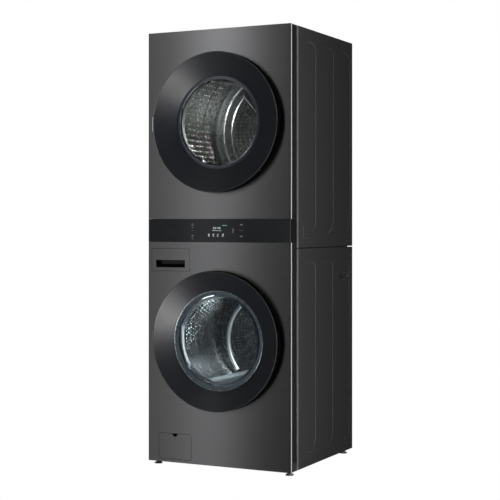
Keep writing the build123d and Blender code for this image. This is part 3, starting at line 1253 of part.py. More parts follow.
NODES = {
    "base_frame": base_frame(),
    "foot_front_left": levelling_foot(-FOOT_X, FOOT_FRONT_Y),
    "foot_front_right": levelling_foot(FOOT_X, FOOT_FRONT_Y),
    "foot_rear_left": levelling_foot(-FOOT_X, FOOT_REAR_Y),
    "foot_rear_right": levelling_foot(FOOT_X, FOOT_REAR_Y),
    "washer_side_left": mirror(right_lower, Plane.YZ),
    "washer_side_right": right_lower,
    "dryer_side_left": mirror(right_upper, Plane.YZ),
    "dryer_side_right": right_upper,
    "front_frame": front_frame(),
    "washer_front_panel": washer_front_panel(),
    "dryer_front_panel": front_sheet(BAND_TOP, HEIGHT, DRYER_Z),
    "washer_rear_panel": washer_rear_panel(),
    "dryer_rear_panel": dryer_rear_panel(),
    "middle_deck": middle_deck(),
    "top_cover": top_cover(),
    "control_glass": control_glass(),
    "control_housing": control_housing(),
    "control_board": control_board(),
    "door_hinge_leaves": [hinge_leaf(WASHER_Z), hinge_leaf(DRYER_Z)],
    "door_locks": [door_lock(WASHER_Z), door_lock(DRYER_Z)],
    "washer_door_ring": door_ring(WASHER_Z, WASHER_WINDOW_R, WASHER_WINDOW_SET, WASHER_POCKETS),
    "washer_door_frame": door_frame(WASHER_Z, WASHER_WINDOW_R, WASHER_WINDOW_SET, BOWL_R,
                                    WASHER_POCKETS),
    "washer_door_bowl": washer_door_bowl(),
    "washer_hinge_arm": hinge_arm(WASHER_Z),
    "dryer_door_ring": door_ring(DRYER_Z, DRYER_WINDOW_R, DRYER_WINDOW_SET, DRYER_POCKETS),
    "dryer_door_frame": door_frame(DRYER_Z, DRYER_WINDOW_R, DRYER_WINDOW_SET, PANE_R,
                                   DRYER_POCKETS),
    "dryer_door_window": dryer_door_window(),
    "dryer_hinge_arm": hinge_arm(DRYER_Z),
    "drawer_front": drawer_front(),
    "drawer_tray": drawer_tray(),
    "dispenser_housing": dispenser_housing(),
    "inlet_valves": inlet_valves(),
    "filter_flap": filter_flap(),
    "drain_pump": drain_pump(),
    "drain_filter": drain_filter(),
    "tub_front": tub_front(),
    "tub_rear": tub_rear(),
    "counterweights": counterweights(),
    "door_gasket": door_gasket(),
    "tub_suspension": tub_suspension(),
    "washer_drum": washer_drum(),
    "washer_lifters": washer_lifters(),
    "drum_shaft": drum_shaft(),
    "motor_rotor": motor_rotor(),
    "motor_stator": motor_stator(),
    "dryer_front_bulkhead": dryer_front_bulkhead(),
    "dryer_rear_bulkhead": dryer_rear_bulkhead(),
    "lint_filter": lint_filter(),
    "dryer_drum": dryer_drum(),
    "dryer_lifters": dryer_lifters(),
    "drum_roller_left": drum_roller(-1),
    "drum_roller_right": drum_roller(1),
    "heater_duct": heater_duct(),
    "blower_housing": blower_housing(),
    "exhaust_duct": exhaust_duct(),
    "dryer_motor": dryer_motor(),
    "motor_shaft": motor_shaft(),
    "idler_pulley": idler_pulley(),
    "drive_belt": drive_belt(),
}

os.makedirs("parts", exist_ok=True)
for name, shape in NODES.items():
    pieces = shape if isinstance(shape, list) else [shape]
    solids = [solid for piece in pieces for solid in piece.solids()]
    moved = [Pos(0, -CENTRE_Y, 0) * solid for solid in solids]
    export_step(moved[0] if len(moved) == 1 else Compound(children=moved), f"parts/{name}.step")
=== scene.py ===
import math

import bmesh
import bpy
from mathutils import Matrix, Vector


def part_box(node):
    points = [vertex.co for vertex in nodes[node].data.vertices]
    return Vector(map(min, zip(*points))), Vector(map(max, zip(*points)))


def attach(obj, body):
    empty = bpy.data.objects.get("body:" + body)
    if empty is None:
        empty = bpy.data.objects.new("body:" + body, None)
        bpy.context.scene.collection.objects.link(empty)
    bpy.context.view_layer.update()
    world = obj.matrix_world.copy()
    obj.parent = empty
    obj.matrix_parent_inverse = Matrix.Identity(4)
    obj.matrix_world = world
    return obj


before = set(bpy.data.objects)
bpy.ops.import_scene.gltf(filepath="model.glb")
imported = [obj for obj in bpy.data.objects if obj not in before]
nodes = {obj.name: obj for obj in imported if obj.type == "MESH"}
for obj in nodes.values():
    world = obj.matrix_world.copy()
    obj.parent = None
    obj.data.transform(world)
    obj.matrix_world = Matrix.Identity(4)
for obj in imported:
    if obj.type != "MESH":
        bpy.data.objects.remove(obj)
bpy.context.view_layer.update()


# Base frame and levelling feet.
# The base is a pressed steel pan with a black powder coat. A moulded grey foot
# with a threaded stud screws up into each corner.

def new_finish(name, colour, roughness, metallic=0.0):
    """A finish and its surface shader."""
    finish = bpy.data.materials.new(name)
    finish.use_nodes = True
    shader = finish.node_tree.nodes["Principled BSDF"]
    shader.inputs["Base Color"].default_value = (*colour, 1.0)
    shader.inputs["Roughness"].default_value = roughness
    shader.inputs["Metallic"].default_value = metallic
    return finish, shader


def wire(finish, kind, sockets, **settings):
    """Adds a node. Each socket takes a value, or the output that feeds it."""
    node = finish.node_tree.nodes.new(kind)
    for key, value in settings.items():
        setattr(node, key, value)
    for key, value in sockets.items():
        if isinstance(value, bpy.types.NodeSocket):
            finish.node_tree.links.new(value, node.inputs[key])
        else:
            node.inputs[key].default_value = value
    return node


def grain(finish, shader, scale, tint, shine, relief, detail=4.0):
    """Uneven tone, gloss and relief, with so many waves in a metre each way."""
    tone = shader.inputs["Base Color"].default_value[:3]
    rough = shader.inputs["Roughness"].default_value
    cloud_low, cloud_high = 0.3, 0.7
    place = wire(finish, "ShaderNodeTexCoord", {})
    size = wire(finish, "ShaderNodeMapping",
                {"Vector": place.outputs["Object"], "Scale": scale})
    cloud = wire(finish, "ShaderNodeTexNoise",
                 {"Vector": size.outputs["Vector"], "Scale": 1.0, "Detail": detail})
    shade = wire(finish, "ShaderNodeValToRGB", {"Fac": cloud.outputs["Fac"]})
    low, high = shade.color_ramp.elements
    low.position, high.position = cloud_low, cloud_high
    low.color = (*[c * (1 - tint) for c in tone], 1.0)
    high.color = (*[c * (1 + tint) for c in tone], 1.0)
    gloss = wire(finish, "ShaderNodeMapRange",
                 {"Value": cloud.outputs["Fac"], "From Min": cloud_low,
                  "From Max": cloud_high, "To Min": rough - shine,
                  "To Max": rough + shine})
    bump = wire(finish, "ShaderNodeBump",
                {"Height": cloud.outputs["Fac"], "Strength": 1.0, "Distance": relief})
    link = finish.node_tree.links.new
    link(shade.outputs["Color"], shader.inputs["Base Color"])
    link(gloss.outputs["Result"], shader.inputs["Roughness"])
    link(bump.outputs["Normal"], shader.inputs["Normal"])


def dress(finish, *names):
    """Gives a finish to every slot of the named parts."""
    for name in names:
        for slot in nodes[name].material_slots:
            slot.material = finish


black_coat, shader = new_finish("black_coat", (0.022, 0.023, 0.025), 0.5)
grain(black_coat, shader, (700, 700, 700), 0.25, 0.08, 0.00004)
dress(black_coat, "base_frame")

foot_moulding, shader = new_finish("foot_moulding", (0.34, 0.36, 0.37), 0.45)
grain(foot_moulding, shader, (400, 400, 400), 0.12, 0.06, 0.00005)
dress(foot_moulding, "foot_front_left", "foot_front_right",
      "foot_rear_left", "foot_rear_right")


# Front frame and deck.
# Two folded uprights, painted dark, stand just behind the skins and show as a
# strip at each side. The deck is painted near black too, as painted shade, so
# its edge shows as a dark seam between the two halves.

frame_paint_and_seam_shade, shader = new_finish("frame_paint_and_seam_shade", (0.007, 0.008, 0.009), 0.6)
shader.inputs["Specular IOR Level"].default_value = 0.2
grain(frame_paint_and_seam_shade, shader, (30, 30, 500), 0.3, 0.1, 0.00003)
# Painted shade: the deck is painted near black so the seam between the halves reads dark.
dress(frame_paint_and_seam_shade, "front_frame", "middle_deck")


# Side panels and top.
# Painted sheet steel with long shallow beads, pressed in so that it doesn't
# drum. A painted highlight makes the coat paler on the rounded front edge and
# on the beads' bends.

def recolour(finish, shader, mask, colour):
    """Another colour where the mask is one."""
    under = shader.inputs["Base Color"].links[0].from_socket
    both = wire(finish, "ShaderNodeMix", {0: mask, 6: under, 7: (*colour, 1.0)},
                data_type="RGBA")
    finish.node_tree.links.new(both.outputs[2], shader.inputs["Base Color"])


side_coat, shader = new_finish("side_coat", (0.036, 0.0362, 0.0368), 0.42)
shader.inputs["Specular IOR Level"].default_value = 0.12
grain(side_coat, shader, (260, 260, 260), 0.05, 0.05, 0.00006, 3.0)
side_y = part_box("washer_side_right")[0].y
nose_highlight_start, nose_highlight_end = side_y + 0.012, side_y + 0.022
place = wire(side_coat, "ShaderNodeTexCoord", {})
spot = wire(side_coat, "ShaderNodeSeparateXYZ", {"Vector": place.outputs["Object"]})
# Painted highlight: the coat is made paler along the rounded front edge.
nose_highlight = wire(side_coat, "ShaderNodeMapRange",
            {"Value": spot.outputs["Y"], "From Min": nose_highlight_start, "From Max": nose_highlight_end,
             "To Min": 1.0, "To Max": 0.0})
recolour(side_coat, shader, nose_highlight.outputs["Result"], (0.145, 0.146, 0.148))
# Painted highlight: the bends of the beads, found by their slanting normals, are given a
# paler coat.
bend_slope, bend_range = 0.71, 0.15
surface = wire(side_coat, "ShaderNodeNewGeometry", {})
facing = wire(side_coat, "ShaderNodeSeparateXYZ",
              {"Vector": surface.outputs["True Normal"]})
outward = wire(side_coat, "ShaderNodeMath", {0: facing.outputs["X"]},
               operation="ABSOLUTE")
bend_highlight = wire(side_coat, "ShaderNodeMath",
            {0: outward.outputs["Value"], 1: bend_slope, 2: bend_range},
            operation="COMPARE")
recolour(side_coat, shader, bend_highlight.outputs["Value"], (0.085, 0.0855, 0.087))
dress(side_coat, "washer_side_left", "washer_side_right",
      "dryer_side_left", "dryer_side_right", "top_cover")


# Rear panels and ducts.
# Bare zinc-coated sheet with its large crystals. The panels are screwed on from
# behind, and the dryer's front wall and ducts are of the same sheet.

zinc, shader = new_finish("zinc", (0.42, 0.43, 0.44), 0.42, 0.6)
grain(zinc, shader, (55, 55, 55), 0.16, 0.1, 0.00002, 5.0)
dress(zinc, "washer_rear_panel", "dryer_rear_panel",
      "dryer_front_bulkhead", "exhaust_duct", "heater_duct", "tub_suspension")


# Front skins.
# Stainless sheet with a dark clear coat. It is brushed from side to side, so
# lights draw out into upright bands on it. A bare stripe runs down each fold,
# and the rest of each fold is painted near black as shade.

skin_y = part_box("washer_front_panel")[0].y
skin_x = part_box("washer_front_panel")[1].x
fold_x = skin_x - 0.0038
stripe_y = skin_y + 0.0080
stripe_half_width = 0.0057


def brushed(name, colour, bare, roughness):
    """Dark steel with fine level brush lines; each fold has a bare stripe and painted
    shade.
    """
    finish, shader = new_finish(name, colour, roughness, 1.0)
    shader.inputs["Anisotropic"].default_value = 0.8
    shader.inputs["Anisotropic Rotation"].default_value = 0.25
    shader.inputs["Specular IOR Level"].default_value = 0.0
    turn = wire(finish, "ShaderNodeTangent", {}, direction_type="RADIAL", axis="Z")
    finish.node_tree.links.new(turn.outputs["Tangent"], shader.inputs["Tangent"])
    grain(finish, shader, (5, 5, 1500), 0.07, 0.02, 0.000008, 2.0)
    place = wire(finish, "ShaderNodeTexCoord", {})
    spot = wire(finish, "ShaderNodeSeparateXYZ", {"Vector": place.outputs["Object"]})
    side = wire(finish, "ShaderNodeMath", {0: spot.outputs["X"]}, operation="ABSOLUTE")
    fold = wire(finish, "ShaderNodeMath", {0: side.outputs["Value"], 1: fold_x},
                operation="GREATER_THAN")
    away = wire(finish, "ShaderNodeMath", {0: spot.outputs["Y"], 1: stripe_y},
                operation="SUBTRACT")
    away = wire(finish, "ShaderNodeMath", {0: away.outputs["Value"]},
                operation="ABSOLUTE")
    # Painted shade: away from the bare stripe each fold is painted near black and not
    # metal, as the shade of the rounded corner.
    dark = wire(finish, "ShaderNodeMath",
                {0: away.outputs["Value"], 1: stripe_half_width},
                operation="GREATER_THAN")
    stripe = wire(finish, "ShaderNodeMix",
                  {0: dark.outputs["Value"], 6: (*bare, 1.0),
                   7: (0.003, 0.003, 0.003, 1.0)}, data_type="RGBA")
    steel = shader.inputs["Base Color"].links[0].from_socket
    both = wire(finish, "ShaderNodeMix",
                {0: fold.outputs["Value"], 6: steel, 7: stripe.outputs[2]},
                data_type="RGBA")
    fold_shade = wire(finish, "ShaderNodeMath",
               {0: fold.outputs["Value"], 1: dark.outputs["Value"]}, operation="MULTIPLY")
    metal = wire(finish, "ShaderNodeMath", {0: 1.0, 1: fold_shade.outputs["Value"]},
                 operation="SUBTRACT")
    finish.node_tree.links.new(both.outputs[2], shader.inputs["Base Color"])
    finish.node_tree.links.new(metal.outputs["Value"], shader.inputs["Metallic"])
    return finish


steel_skin = brushed("steel_skin", (0.25, 0.252, 0.258), (0.95, 0.95, 0.96), 0.25)
dress(steel_skin, "washer_front_panel", "dryer_front_panel")


# Tub, weights and motors.
# Two grey mouldings are bolted together round the washer drum, steadied by cast
# weights and driven from behind. Valves and tray are of the same moulding.

grey_moulding, shader = new_finish("grey_moulding", (0.45, 0.46, 0.47), 0.5)
grain(grey_moulding, shader, (160, 160, 160), 0.06, 0.06, 0.00008)
dress(grey_moulding, "tub_front", "tub_rear", "inlet_valves", "drawer_tray")

cast_weight, shader = new_finish("cast_weight", (0.26, 0.25, 0.24), 0.85)
grain(cast_weight, shader, (90, 90, 90), 0.25, 0.08, 0.0008, 7.0)
dress(cast_weight, "counterweights")

cast_metal, shader = new_finish("cast_metal", (0.52, 0.53, 0.54), 0.45, 0.9)
grain(cast_metal, shader, (220, 220, 220), 0.1, 0.1, 0.00015, 6.0)
dress(cast_metal, "drum_shaft", "motor_rotor")

motor_coat, shader = new_finish("motor_coat", (0.11, 0.115, 0.12), 0.5, 0.4)
grain(motor_coat, shader, (300, 300, 300), 0.2, 0.1, 0.0001)
dress(motor_coat, "motor_stator", "dryer_motor", "motor_shaft", "idler_pulley")


# Drums.
# Rolled stainless drums. The washer drum has small dished holes, each with a
# dark disc of painted shade in its middle, and the dryer drum carries rows of
# pressed bumps that lift the clothes.

def new_piece(name, shape, body, finish):
    """Makes a piece of a finished shape and lets it move with its body."""
    mesh = bpy.data.meshes.new(name)
    shape.to_mesh(mesh)
    shape.free()
    mesh.materials.append(finish)
    mesh.shade_smooth()
    mesh.set_sharp_from_angle(angle=math.radians(35))
    piece = bpy.data.objects.new(name, mesh)
    bpy.context.collection.objects.link(piece)
    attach(piece, body)


def add_rings(shape, rings, closed=True):
    """Skins a row of rings of points."""
    rows = [[shape.verts.new(point) for point in ring] for ring in rings]
    for a, b in zip(rows, rows[1:]):
        last = len(a) if closed else len(a) - 1
        for i in range(last):
            j = (i + 1) % len(a)
            shape.faces.new((a[i], a[j], b[j], b[i]))
    return rows


def add_cap(shape, centre, out, side, steps, sides, stretch=1.0):
    """A small round bump or dish: each step is its radius and its height."""
    up = out.cross(side)
    side = side * stretch
    rings = []
    for radius, height in steps:
        rings.append([centre + out * height
                      + side * radius * math.cos(2 * math.pi * i / sides)
                      + up * radius * math.sin(2 * math.pi * i / sides)
                      for i in range(sides)])
    rows = add_rings(shape, rings)
    shape.faces.new(rows[-1])


drum_steel, shader = new_finish("drum_steel", (0.145, 0.15, 0.152), 0.25, 1.0)
grain(drum_steel, shader, (40, 40, 40), 0.08, 0.06, 0.00005)
# Painted highlight: the dryer's pressed bumps and rear wall beads take this far lighter
# copy of the drum steel, so they read as bright glints.
highlight_steel, shader = new_finish("highlight_steel", (0.78, 0.79, 0.80), 0.2, 1.0)
grain(highlight_steel, shader, (30, 30, 30), 0.04, 0.04, 0.00002)
dress(drum_steel, "washer_drum")
# Painted shade: the dryer drum's wall is a darker copy of the same steel, so the bumps
# stand out against it.
shaded_steel, shader = new_finish("shaded_steel", (0.07, 0.073, 0.074), 0.3, 1.0)
grain(shaded_steel, shader, (40, 40, 40), 0.08, 0.06, 0.00005)
dress(shaded_steel, "dryer_drum")

low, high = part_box("dryer_drum")
drum_z = (low.z + high.z) / 2
drum_r = (high.z - low.z) / 2 - 0.0012
bumps_round, bump_pitch = 80, 0.025
bumps_front, bumps_rear = low.y + 0.020, high.y - 0.080
bump = ((0.0064, 0.0), (0.0055, 0.0025), (0.0035, 0.0045), (0.0013, 0.0053))
along = Vector((0, 1, 0))
shape = bmesh.new()
for i in range(bumps_round):
    turn = 2 * math.pi * i / bumps_round
    inward = Vector((-math.cos(turn), 0, -math.sin(turn)))
    y = bumps_front + bump_pitch / 2 * (i % 2)
    while y < bumps_rear:
        centre = Vector((0, y, drum_z)) - inward * drum_r
        add_cap(shape, centre, inward, along, bump, 8, 1.05)
        y += bump_pitch
new_piece("dryer_drum_bumps", shape, "dryer_drum_group", highlight_steel)

# Painted shade: a dark disc in each dish stands for the shaded tub seen through the hole;
# the drum is not pierced.
hole_shade, shader = new_finish("hole_shade", (0.02, 0.02, 0.022), 0.5)
grain(hole_shade, shader, (300, 300, 300), 0.2, 0.1, 0.0001)

low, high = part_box("washer_drum")
tub_z = (low.z + high.z) / 2
wash_r = (high.z - low.z) / 2 - 0.0016
back_y = high.y - 0.0016
hole_rows, holes_round, hole_margin = 20, 110, 0.02
back_rings, back_r, back_pitch = 16, 0.262, 0.0145
dish = ((0.0052, 0.0), (0.0043, 0.0013), (0.0032, 0.0004))
pit = ((0.0032, 0.0004), (0.0028, 0.0005))
spots = []
for row in range(hole_rows):
    y = low.y + hole_margin + (high.y - low.y - 2 * hole_margin) * row / (hole_rows - 1)
    for i in range(holes_round):
        turn = 2 * math.pi * (i + 0.5 * (row % 2)) / holes_round
        inward = Vector((-math.cos(turn), 0, -math.sin(turn)))
        centre = Vector((0, y, tub_z)) - inward * wash_r
        spots.append((centre, inward, along))
for ring in range(1, back_rings + 1):
    r = back_r * ring / back_rings
    count = max(6, int(2 * math.pi * r / back_pitch))
    for i in range(count):
        turn = 2 * math.pi * (i + 0.5 * (ring % 2)) / count
        centre = Vector((r * math.cos(turn), back_y, tub_z + r * math.sin(turn)))
        spots.append((centre, -along, Vector((1, 0, 0))))
shape = bmesh.new()
holes = bmesh.new()
for centre, out, side in spots:
    add_cap(shape, centre, out, side, dish, 6)
    add_cap(holes, centre, out, side, pit, 6)
new_piece("washer_drum_dishes", shape, "washer_drum_group", drum_steel)
new_piece("washer_drum_holes", holes, "washer_drum_group", hole_shade)


def add_bead(shape, path, width, height, closed=False):
    """A half-round bead pressed toward the front along a path in an upright plane."""
    last = len(path) - 1
    sides = []
    for i, point in enumerate(path):
        ahead = path[(i + 1) % len(path)] if closed else path[min(i + 1, last)]
        behind = path[i - 1] if closed else path[max(i - 1, 0)]
        sides.append((ahead - behind).cross(along).normalized())
    rings = []
    for turn in (0, 30, 60, 90, 120, 150, 180):
        aside = width / 2 * math.cos(math.radians(turn))
        rise = Vector((0, -height * math.sin(math.radians(turn)), 0))
        rings.append([point + side * aside + rise for point, side in zip(path, sides)])
    add_rings(shape, rings, closed)


def arc(radius, end_radius, start, end, y, z, steps=48):
    """Points on an arc about an axis, whose radius may grow along it."""
    points = []
    for k in range(steps + 1):
        turn = math.radians(start + (end - start) * k / steps)
        r = radius + (end_radius - radius) * k / steps
        points.append(Vector((r * math.cos(turn), y, z + r * math.sin(turn))))
    return points


rib_starts, rib_sweep = (142, 262, 22), 84
rib_inner, rib_width, rib_height = 0.200, 0.021, 0.009
shape = bmesh.new()
for start in rib_starts:
    rib = arc(rib_inner, back_r, start, start + rib_sweep, back_y, tub_z)
    add_bead(shape, rib, rib_width, rib_height)
# Painted highlight: the ribs are pressed from the drum sheet but take a far lighter
# steel, so they read as a bright line.
rib_highlight_steel, shader = new_finish("rib_highlight_steel", (0.92, 0.93, 0.95), 0.33, 1.0)
grain(rib_highlight_steel, shader, (30, 30, 30), 0.04, 0.04, 0.00002)
new_piece("washer_drum_ribs", shape, "washer_drum_group", rib_highlight_steel)


# Lifters.
# Hollow grey mouldings clipped to the inside of each drum. They carry the
# clothes up as the drum turns.

lifter_moulding, shader = new_finish("lifter_moulding", (0.13, 0.14, 0.147), 0.34)
grain(lifter_moulding, shader, (120, 120, 120), 0.08, 0.06, 0.00005)
dress(lifter_moulding, "washer_lifters", "dryer_lifters")


# Dryer rear wall, vent and filters.
# The rear wall is bright sheet, and warm air enters through its vent. The lint
# screen lifts out below the door opening, and the pump filter unscrews.

bulkhead_steel, shader = new_finish("bulkhead_steel", (0.20, 0.207, 0.21), 0.3, 1.0)
grain(bulkhead_steel, shader, (60, 60, 60), 0.1, 0.06, 0.00004)
dress(bulkhead_steel, "dryer_rear_bulkhead")

vent_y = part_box("dryer_rear_bulkhead")[1].y - 0.004
vent_outer, vent_inner, wall_bead_r = 0.242, 0.085, 0.285
wall_bead_height = 0.007
vent_edge = (arc(vent_outer, vent_outer, 136, 224, vent_y, drum_z)
             + arc(vent_inner, vent_inner, 218, 142, vent_y, drum_z, 12))
wall_ring = arc(wall_bead_r, wall_bead_r, 0, 357, vent_y, drum_z, 119)
shape = bmesh.new()
add_bead(shape, vent_edge, 0.012, wall_bead_height, True)
add_bead(shape, wall_ring, 0.016, wall_bead_height, True)
# Painted highlight: these beads are pressed from the wall's own sheet but take the
# lighter highlight steel.
new_piece("dryer_vent_rim", shape, "cabinet", highlight_steel)

screen_moulding, shader = new_finish("screen_moulding", (0.30, 0.31, 0.33), 0.5)
grain(screen_moulding, shader, (900, 900, 900), 0.3, 0.06, 0.0001)
dress(screen_moulding, "lint_filter", "drain_filter")


# Seals, rollers, belt and drum lamp.
# Moulded rubber: the washer door seal, the drum rollers and the ribbed dryer
# belt. A pale lens in the washer's mouth stands over the drum lamp.

soft_rubber, shader = new_finish("soft_rubber", (0.13, 0.135, 0.14), 0.55)
grain(soft_rubber, shader, (200, 200, 200), 0.1, 0.08, 0.0001)
dress(soft_rubber, "door_gasket", "drum_roller_left", "drum_roller_right", "drive_belt")

lamp_lens, shader = new_finish("lamp_lens", (0.80, 0.86, 0.84), 0.3)
shader.inputs["Emission Color"].default_value = (0.80, 0.90, 0.86, 1.0)
shader.inputs["Emission Strength"].default_value = 4.0
grain(lamp_lens, shader, (200, 200, 200), 0.05, 0.05, 0.00002)
lens_place = Vector((-0.090, -0.268, tub_z + 0.184))
lens_out = Vector((0.25, -0.68, -0.69))
lens_side = Vector((0.92, 0.0, 0.39))
lens_dome = ((0.016, 0.0), (0.014, 0.004), (0.007, 0.006))
shape = bmesh.new()
add_cap(shape, lens_place, lens_out, lens_side, lens_dome, 20, 1.8)
new_piece("drum_lamp_lens", shape, "cabinet", lamp_lens)


# Housings.
# Black mouldings round the dispenser, pump, blower and door locks, and the
# darker tray behind the control band.

dark_moulding, shader = new_finish("dark_moulding", (0.03, 0.031, 0.033), 0.45)
grain(dark_moulding, shader, (350, 350, 350), 0.2, 0.08, 0.00006)
dress(dark_moulding, "dispenser_housing", "drain_pump", "blower_housing", "door_locks")

band_frame, shader = new_finish("band_frame", (0.006, 0.006, 0.007), 0.55)
shader.inputs["Specular IOR Level"].default_value = 0.1
grain(band_frame, shader, (350, 350, 350), 0.2, 0.08, 0.00006)
dress(band_frame, "control_housing")


# Doors.
# Each door is a dished glossy ring over a moulded frame. A blown glass bowl
# closes the washer, and a flat-bottomed pane the dryer.

def beyond(finish, z, radius):
    """One where the surface is farther than the radius from a door's axis."""
    place = wire(finish, "ShaderNodeTexCoord", {})
    reach = wire(finish, "ShaderNodeVectorMath",
                 {0: place.outputs["Object"], 1: (0.0, 0.0, z)}, operation="SUBTRACT")
    flat = wire(finish, "ShaderNodeVectorMath",
                {0: reach.outputs["Vector"], 1: (1.0, 0.0, 1.0)}, operation="MULTIPLY")
    far = wire(finish, "ShaderNodeVectorMath", {0: flat.outputs["Vector"]},
               operation="LENGTH")
    mask = wire(finish, "ShaderNodeMath", {0: far.outputs["Value"], 1: radius},
                operation="GREATER_THAN")
    return mask.outputs["Value"]


def two_tone(finish, shader, mask, colour, specular):
    """Another colour and another mirroring where the mask is one."""
    recolour(finish, shader, mask, colour)
    dull = wire(finish, "ShaderNodeMapRange",
                {"Value": mask, "To Min": 0.5, "To Max": specular})
    finish.node_tree.links.new(dull.outputs["Result"],
                               shader.inputs["Specular IOR Level"])


rim_highlight_start, wall_shade_start, frame_shade_start = 0.2962, 0.2980, 0.23
for name, z in (("washer", tub_z), ("dryer", drum_z)):
    ring_gloss, shader = new_finish(name + "_ring_gloss", (0.0100, 0.0110, 0.0145), 0.34)
    grain(ring_gloss, shader, (20, 20, 20), 0.03, 0.02, 0.00001)
    # Painted highlight: a thin pale band at the ring's front rim.
    two_tone(ring_gloss, shader, beyond(ring_gloss, z, rim_highlight_start),
             (0.05, 0.052, 0.057), 0.5)
    # Painted shade: the outer wall beyond the rim is painted black with no mirroring.
    two_tone(ring_gloss, shader, beyond(ring_gloss, z, wall_shade_start),
             (0.002, 0.002, 0.002), 0.0)
    dress(ring_gloss, name + "_door_ring")
    frame_moulding, shader = new_finish(name + "_frame_moulding", (0.26, 0.29, 0.31), 0.3)
    grain(frame_moulding, shader, (300, 300, 300), 0.1, 0.06, 0.00003)
    # Painted shade: beyond this radius the frame is painted black with no mirroring.
    two_tone(frame_moulding, shader, beyond(frame_moulding, z, frame_shade_start),
             (0.003, 0.003, 0.0035), 0.0)
    dress(frame_moulding, name + "_door_frame")


def show(finish, node, output="Shader"):
    """The finish ends in the output of this node."""
    tree = finish.node_tree
    ends = [end for end in tree.nodes if end.bl_idname.startswith("ShaderNodeOutput")]
    tree.links.new(node.outputs[output], ends[0].inputs["Surface"])


def clear_glass(name, tint):
    """Thin tinted glass that mirrors more at a slant."""
    finish, shader = new_finish(name, (0.9, 0.93, 1.0), 0.05, 1.0)
    clear = wire(finish, "ShaderNodeBsdfTransparent", {"Color": (*tint, 1.0)})
    slant = wire(finish, "ShaderNodeFresnel", {"IOR": 1.16})
    mix = wire(finish, "ShaderNodeMixShader",
               {"Fac": slant.outputs["Fac"], 1: clear.outputs["BSDF"],
                2: shader.outputs["BSDF"]})
    grain(finish, shader, (30, 30, 30), 0.02, 0.02, 0.00001)
    show(finish, mix)
    return finish, mix


bowl_glass, mix = clear_glass("bowl_glass", (0.68, 0.71, 0.73))
# Painted highlight: at a slant the bowl turns partly to a pale matt grey, standing in for
# light caught in the thick glass.
pale = wire(bowl_glass, "ShaderNodeBsdfDiffuse", {"Color": (0.42, 0.47, 0.50, 1.0)})
slant = wire(bowl_glass, "ShaderNodeLayerWeight", {"Blend": 0.5})
slant_highlight_share = wire(bowl_glass, "ShaderNodeMapRange",
            {"Value": slant.outputs["Facing"], "From Min": 0.45, "From Max": 0.9,
             "To Min": 0.0, "To Max": 0.6})
both = wire(bowl_glass, "ShaderNodeMixShader",
            {"Fac": slant_highlight_share.outputs["Result"], 1: mix.outputs["Shader"],
             2: pale.outputs["BSDF"]})
show(bowl_glass, both)
dress(bowl_glass, "washer_door_bowl")

# Painted highlight: a pale metal bead round each glass's rim stands in for the bright
# line that the thick glass edge catches.
glass_edge_highlight, shader = new_finish("glass_edge_highlight", (0.42, 0.48, 0.50), 0.25, 0.8)
grain(glass_edge_highlight, shader, (60, 60, 60), 0.1, 0.08, 0.00002)
for body, glass, reach, width in (("washer_door", "washer_door_bowl", 0.2122, 0.0034),
                                  ("dryer_door", "dryer_door_window", 0.1862, 0.0015)):
    low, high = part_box(glass)
    rim = arc(reach, reach, 0, 357, low.y + 0.0002, (low.z + high.z) / 2, 119)
    shape = bmesh.new()
    add_bead(shape, rim, width, width * 0.6, True)
    new_piece(body + "_glass_edge_highlight", shape, body, glass_edge_highlight)

clear_pane_r = 0.1855
pane_glass, mix = clear_glass("pane_glass", (0.65, 0.69, 0.72))
navy = wire(pane_glass, "ShaderNodeBsdfPrincipled",
            {"Base Color": (0.022, 0.026, 0.042, 1.0), "Roughness": 0.15})
both = wire(pane_glass, "ShaderNodeMixShader",
            {"Fac": beyond(pane_glass, drum_z, clear_pane_r), 1: mix.outputs["Shader"],
             2: navy.outputs["BSDF"]})
show(pane_glass, both)
dress(pane_glass, "dryer_door_window")

hinge_steel, shader = new_finish("hinge_steel", (0.30, 0.31, 0.32), 0.35, 1.0)
grain(hinge_steel, shader, (150, 150, 150), 0.1, 0.08, 0.00004)
dress(hinge_steel, "washer_hinge_arm", "dryer_hinge_arm", "door_hinge_leaves")


# Detergent drawer and service flap.
# Both fronts are cut from the same brushed sheet as the skins. A black moulded
# cup lines the drawer's slot, with a satin bar to pull it by.

dress(steel_skin, "drawer_front", "filter_flap")


def add_box(shape, low, high):
    """A plain block between two corners."""
    corners = [shape.verts.new((x, y, z)) for x in (low[0], high[0])
               for y in (low[1], high[1]) for z in (low[2], high[2])]
    for side in ((0, 1, 3, 2), (4, 6, 7, 5), (0, 4, 5, 1), (2, 3, 7, 6),
                 (0, 2, 6, 4), (1, 5, 7, 3)):
        shape.faces.new([corners[i] for i in side])


drawer_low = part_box("drawer_front")[0]
slot_x = drawer_low.x + 0.0213
slot_end = slot_x + 0.1434
slot_z = drawer_low.z + 0.0153
slot_top = slot_z + 0.0314
face_y = drawer_low.y
shape = bmesh.new()
cup_mouth_y, cup_floor_y = face_y + 0.0008, face_y + 0.0150
outer = [(slot_x, slot_z), (slot_end, slot_z), (slot_end, slot_top), (slot_x, slot_top)]
inner = [(slot_x + 0.003, slot_z + 0.002), (slot_end - 0.001, slot_z + 0.002),
         (slot_end - 0.001, slot_top - 0.001), (slot_x + 0.003, slot_top - 0.001)]
rows = add_rings(shape, [[(x, cup_mouth_y, z) for x, z in outer],
                         [(x, cup_floor_y, z) for x, z in inner]])
shape.faces.new(rows[-1])
cup_black, shader = new_finish("cup_black", (0.003, 0.003, 0.0033), 0.5)
shader.inputs["Specular IOR Level"].default_value = 0.1
grain(cup_black, shader, (350, 350, 350), 0.2, 0.08, 0.00003)
new_piece("drawer_grip_cup", shape, "detergent_drawer", cup_black)

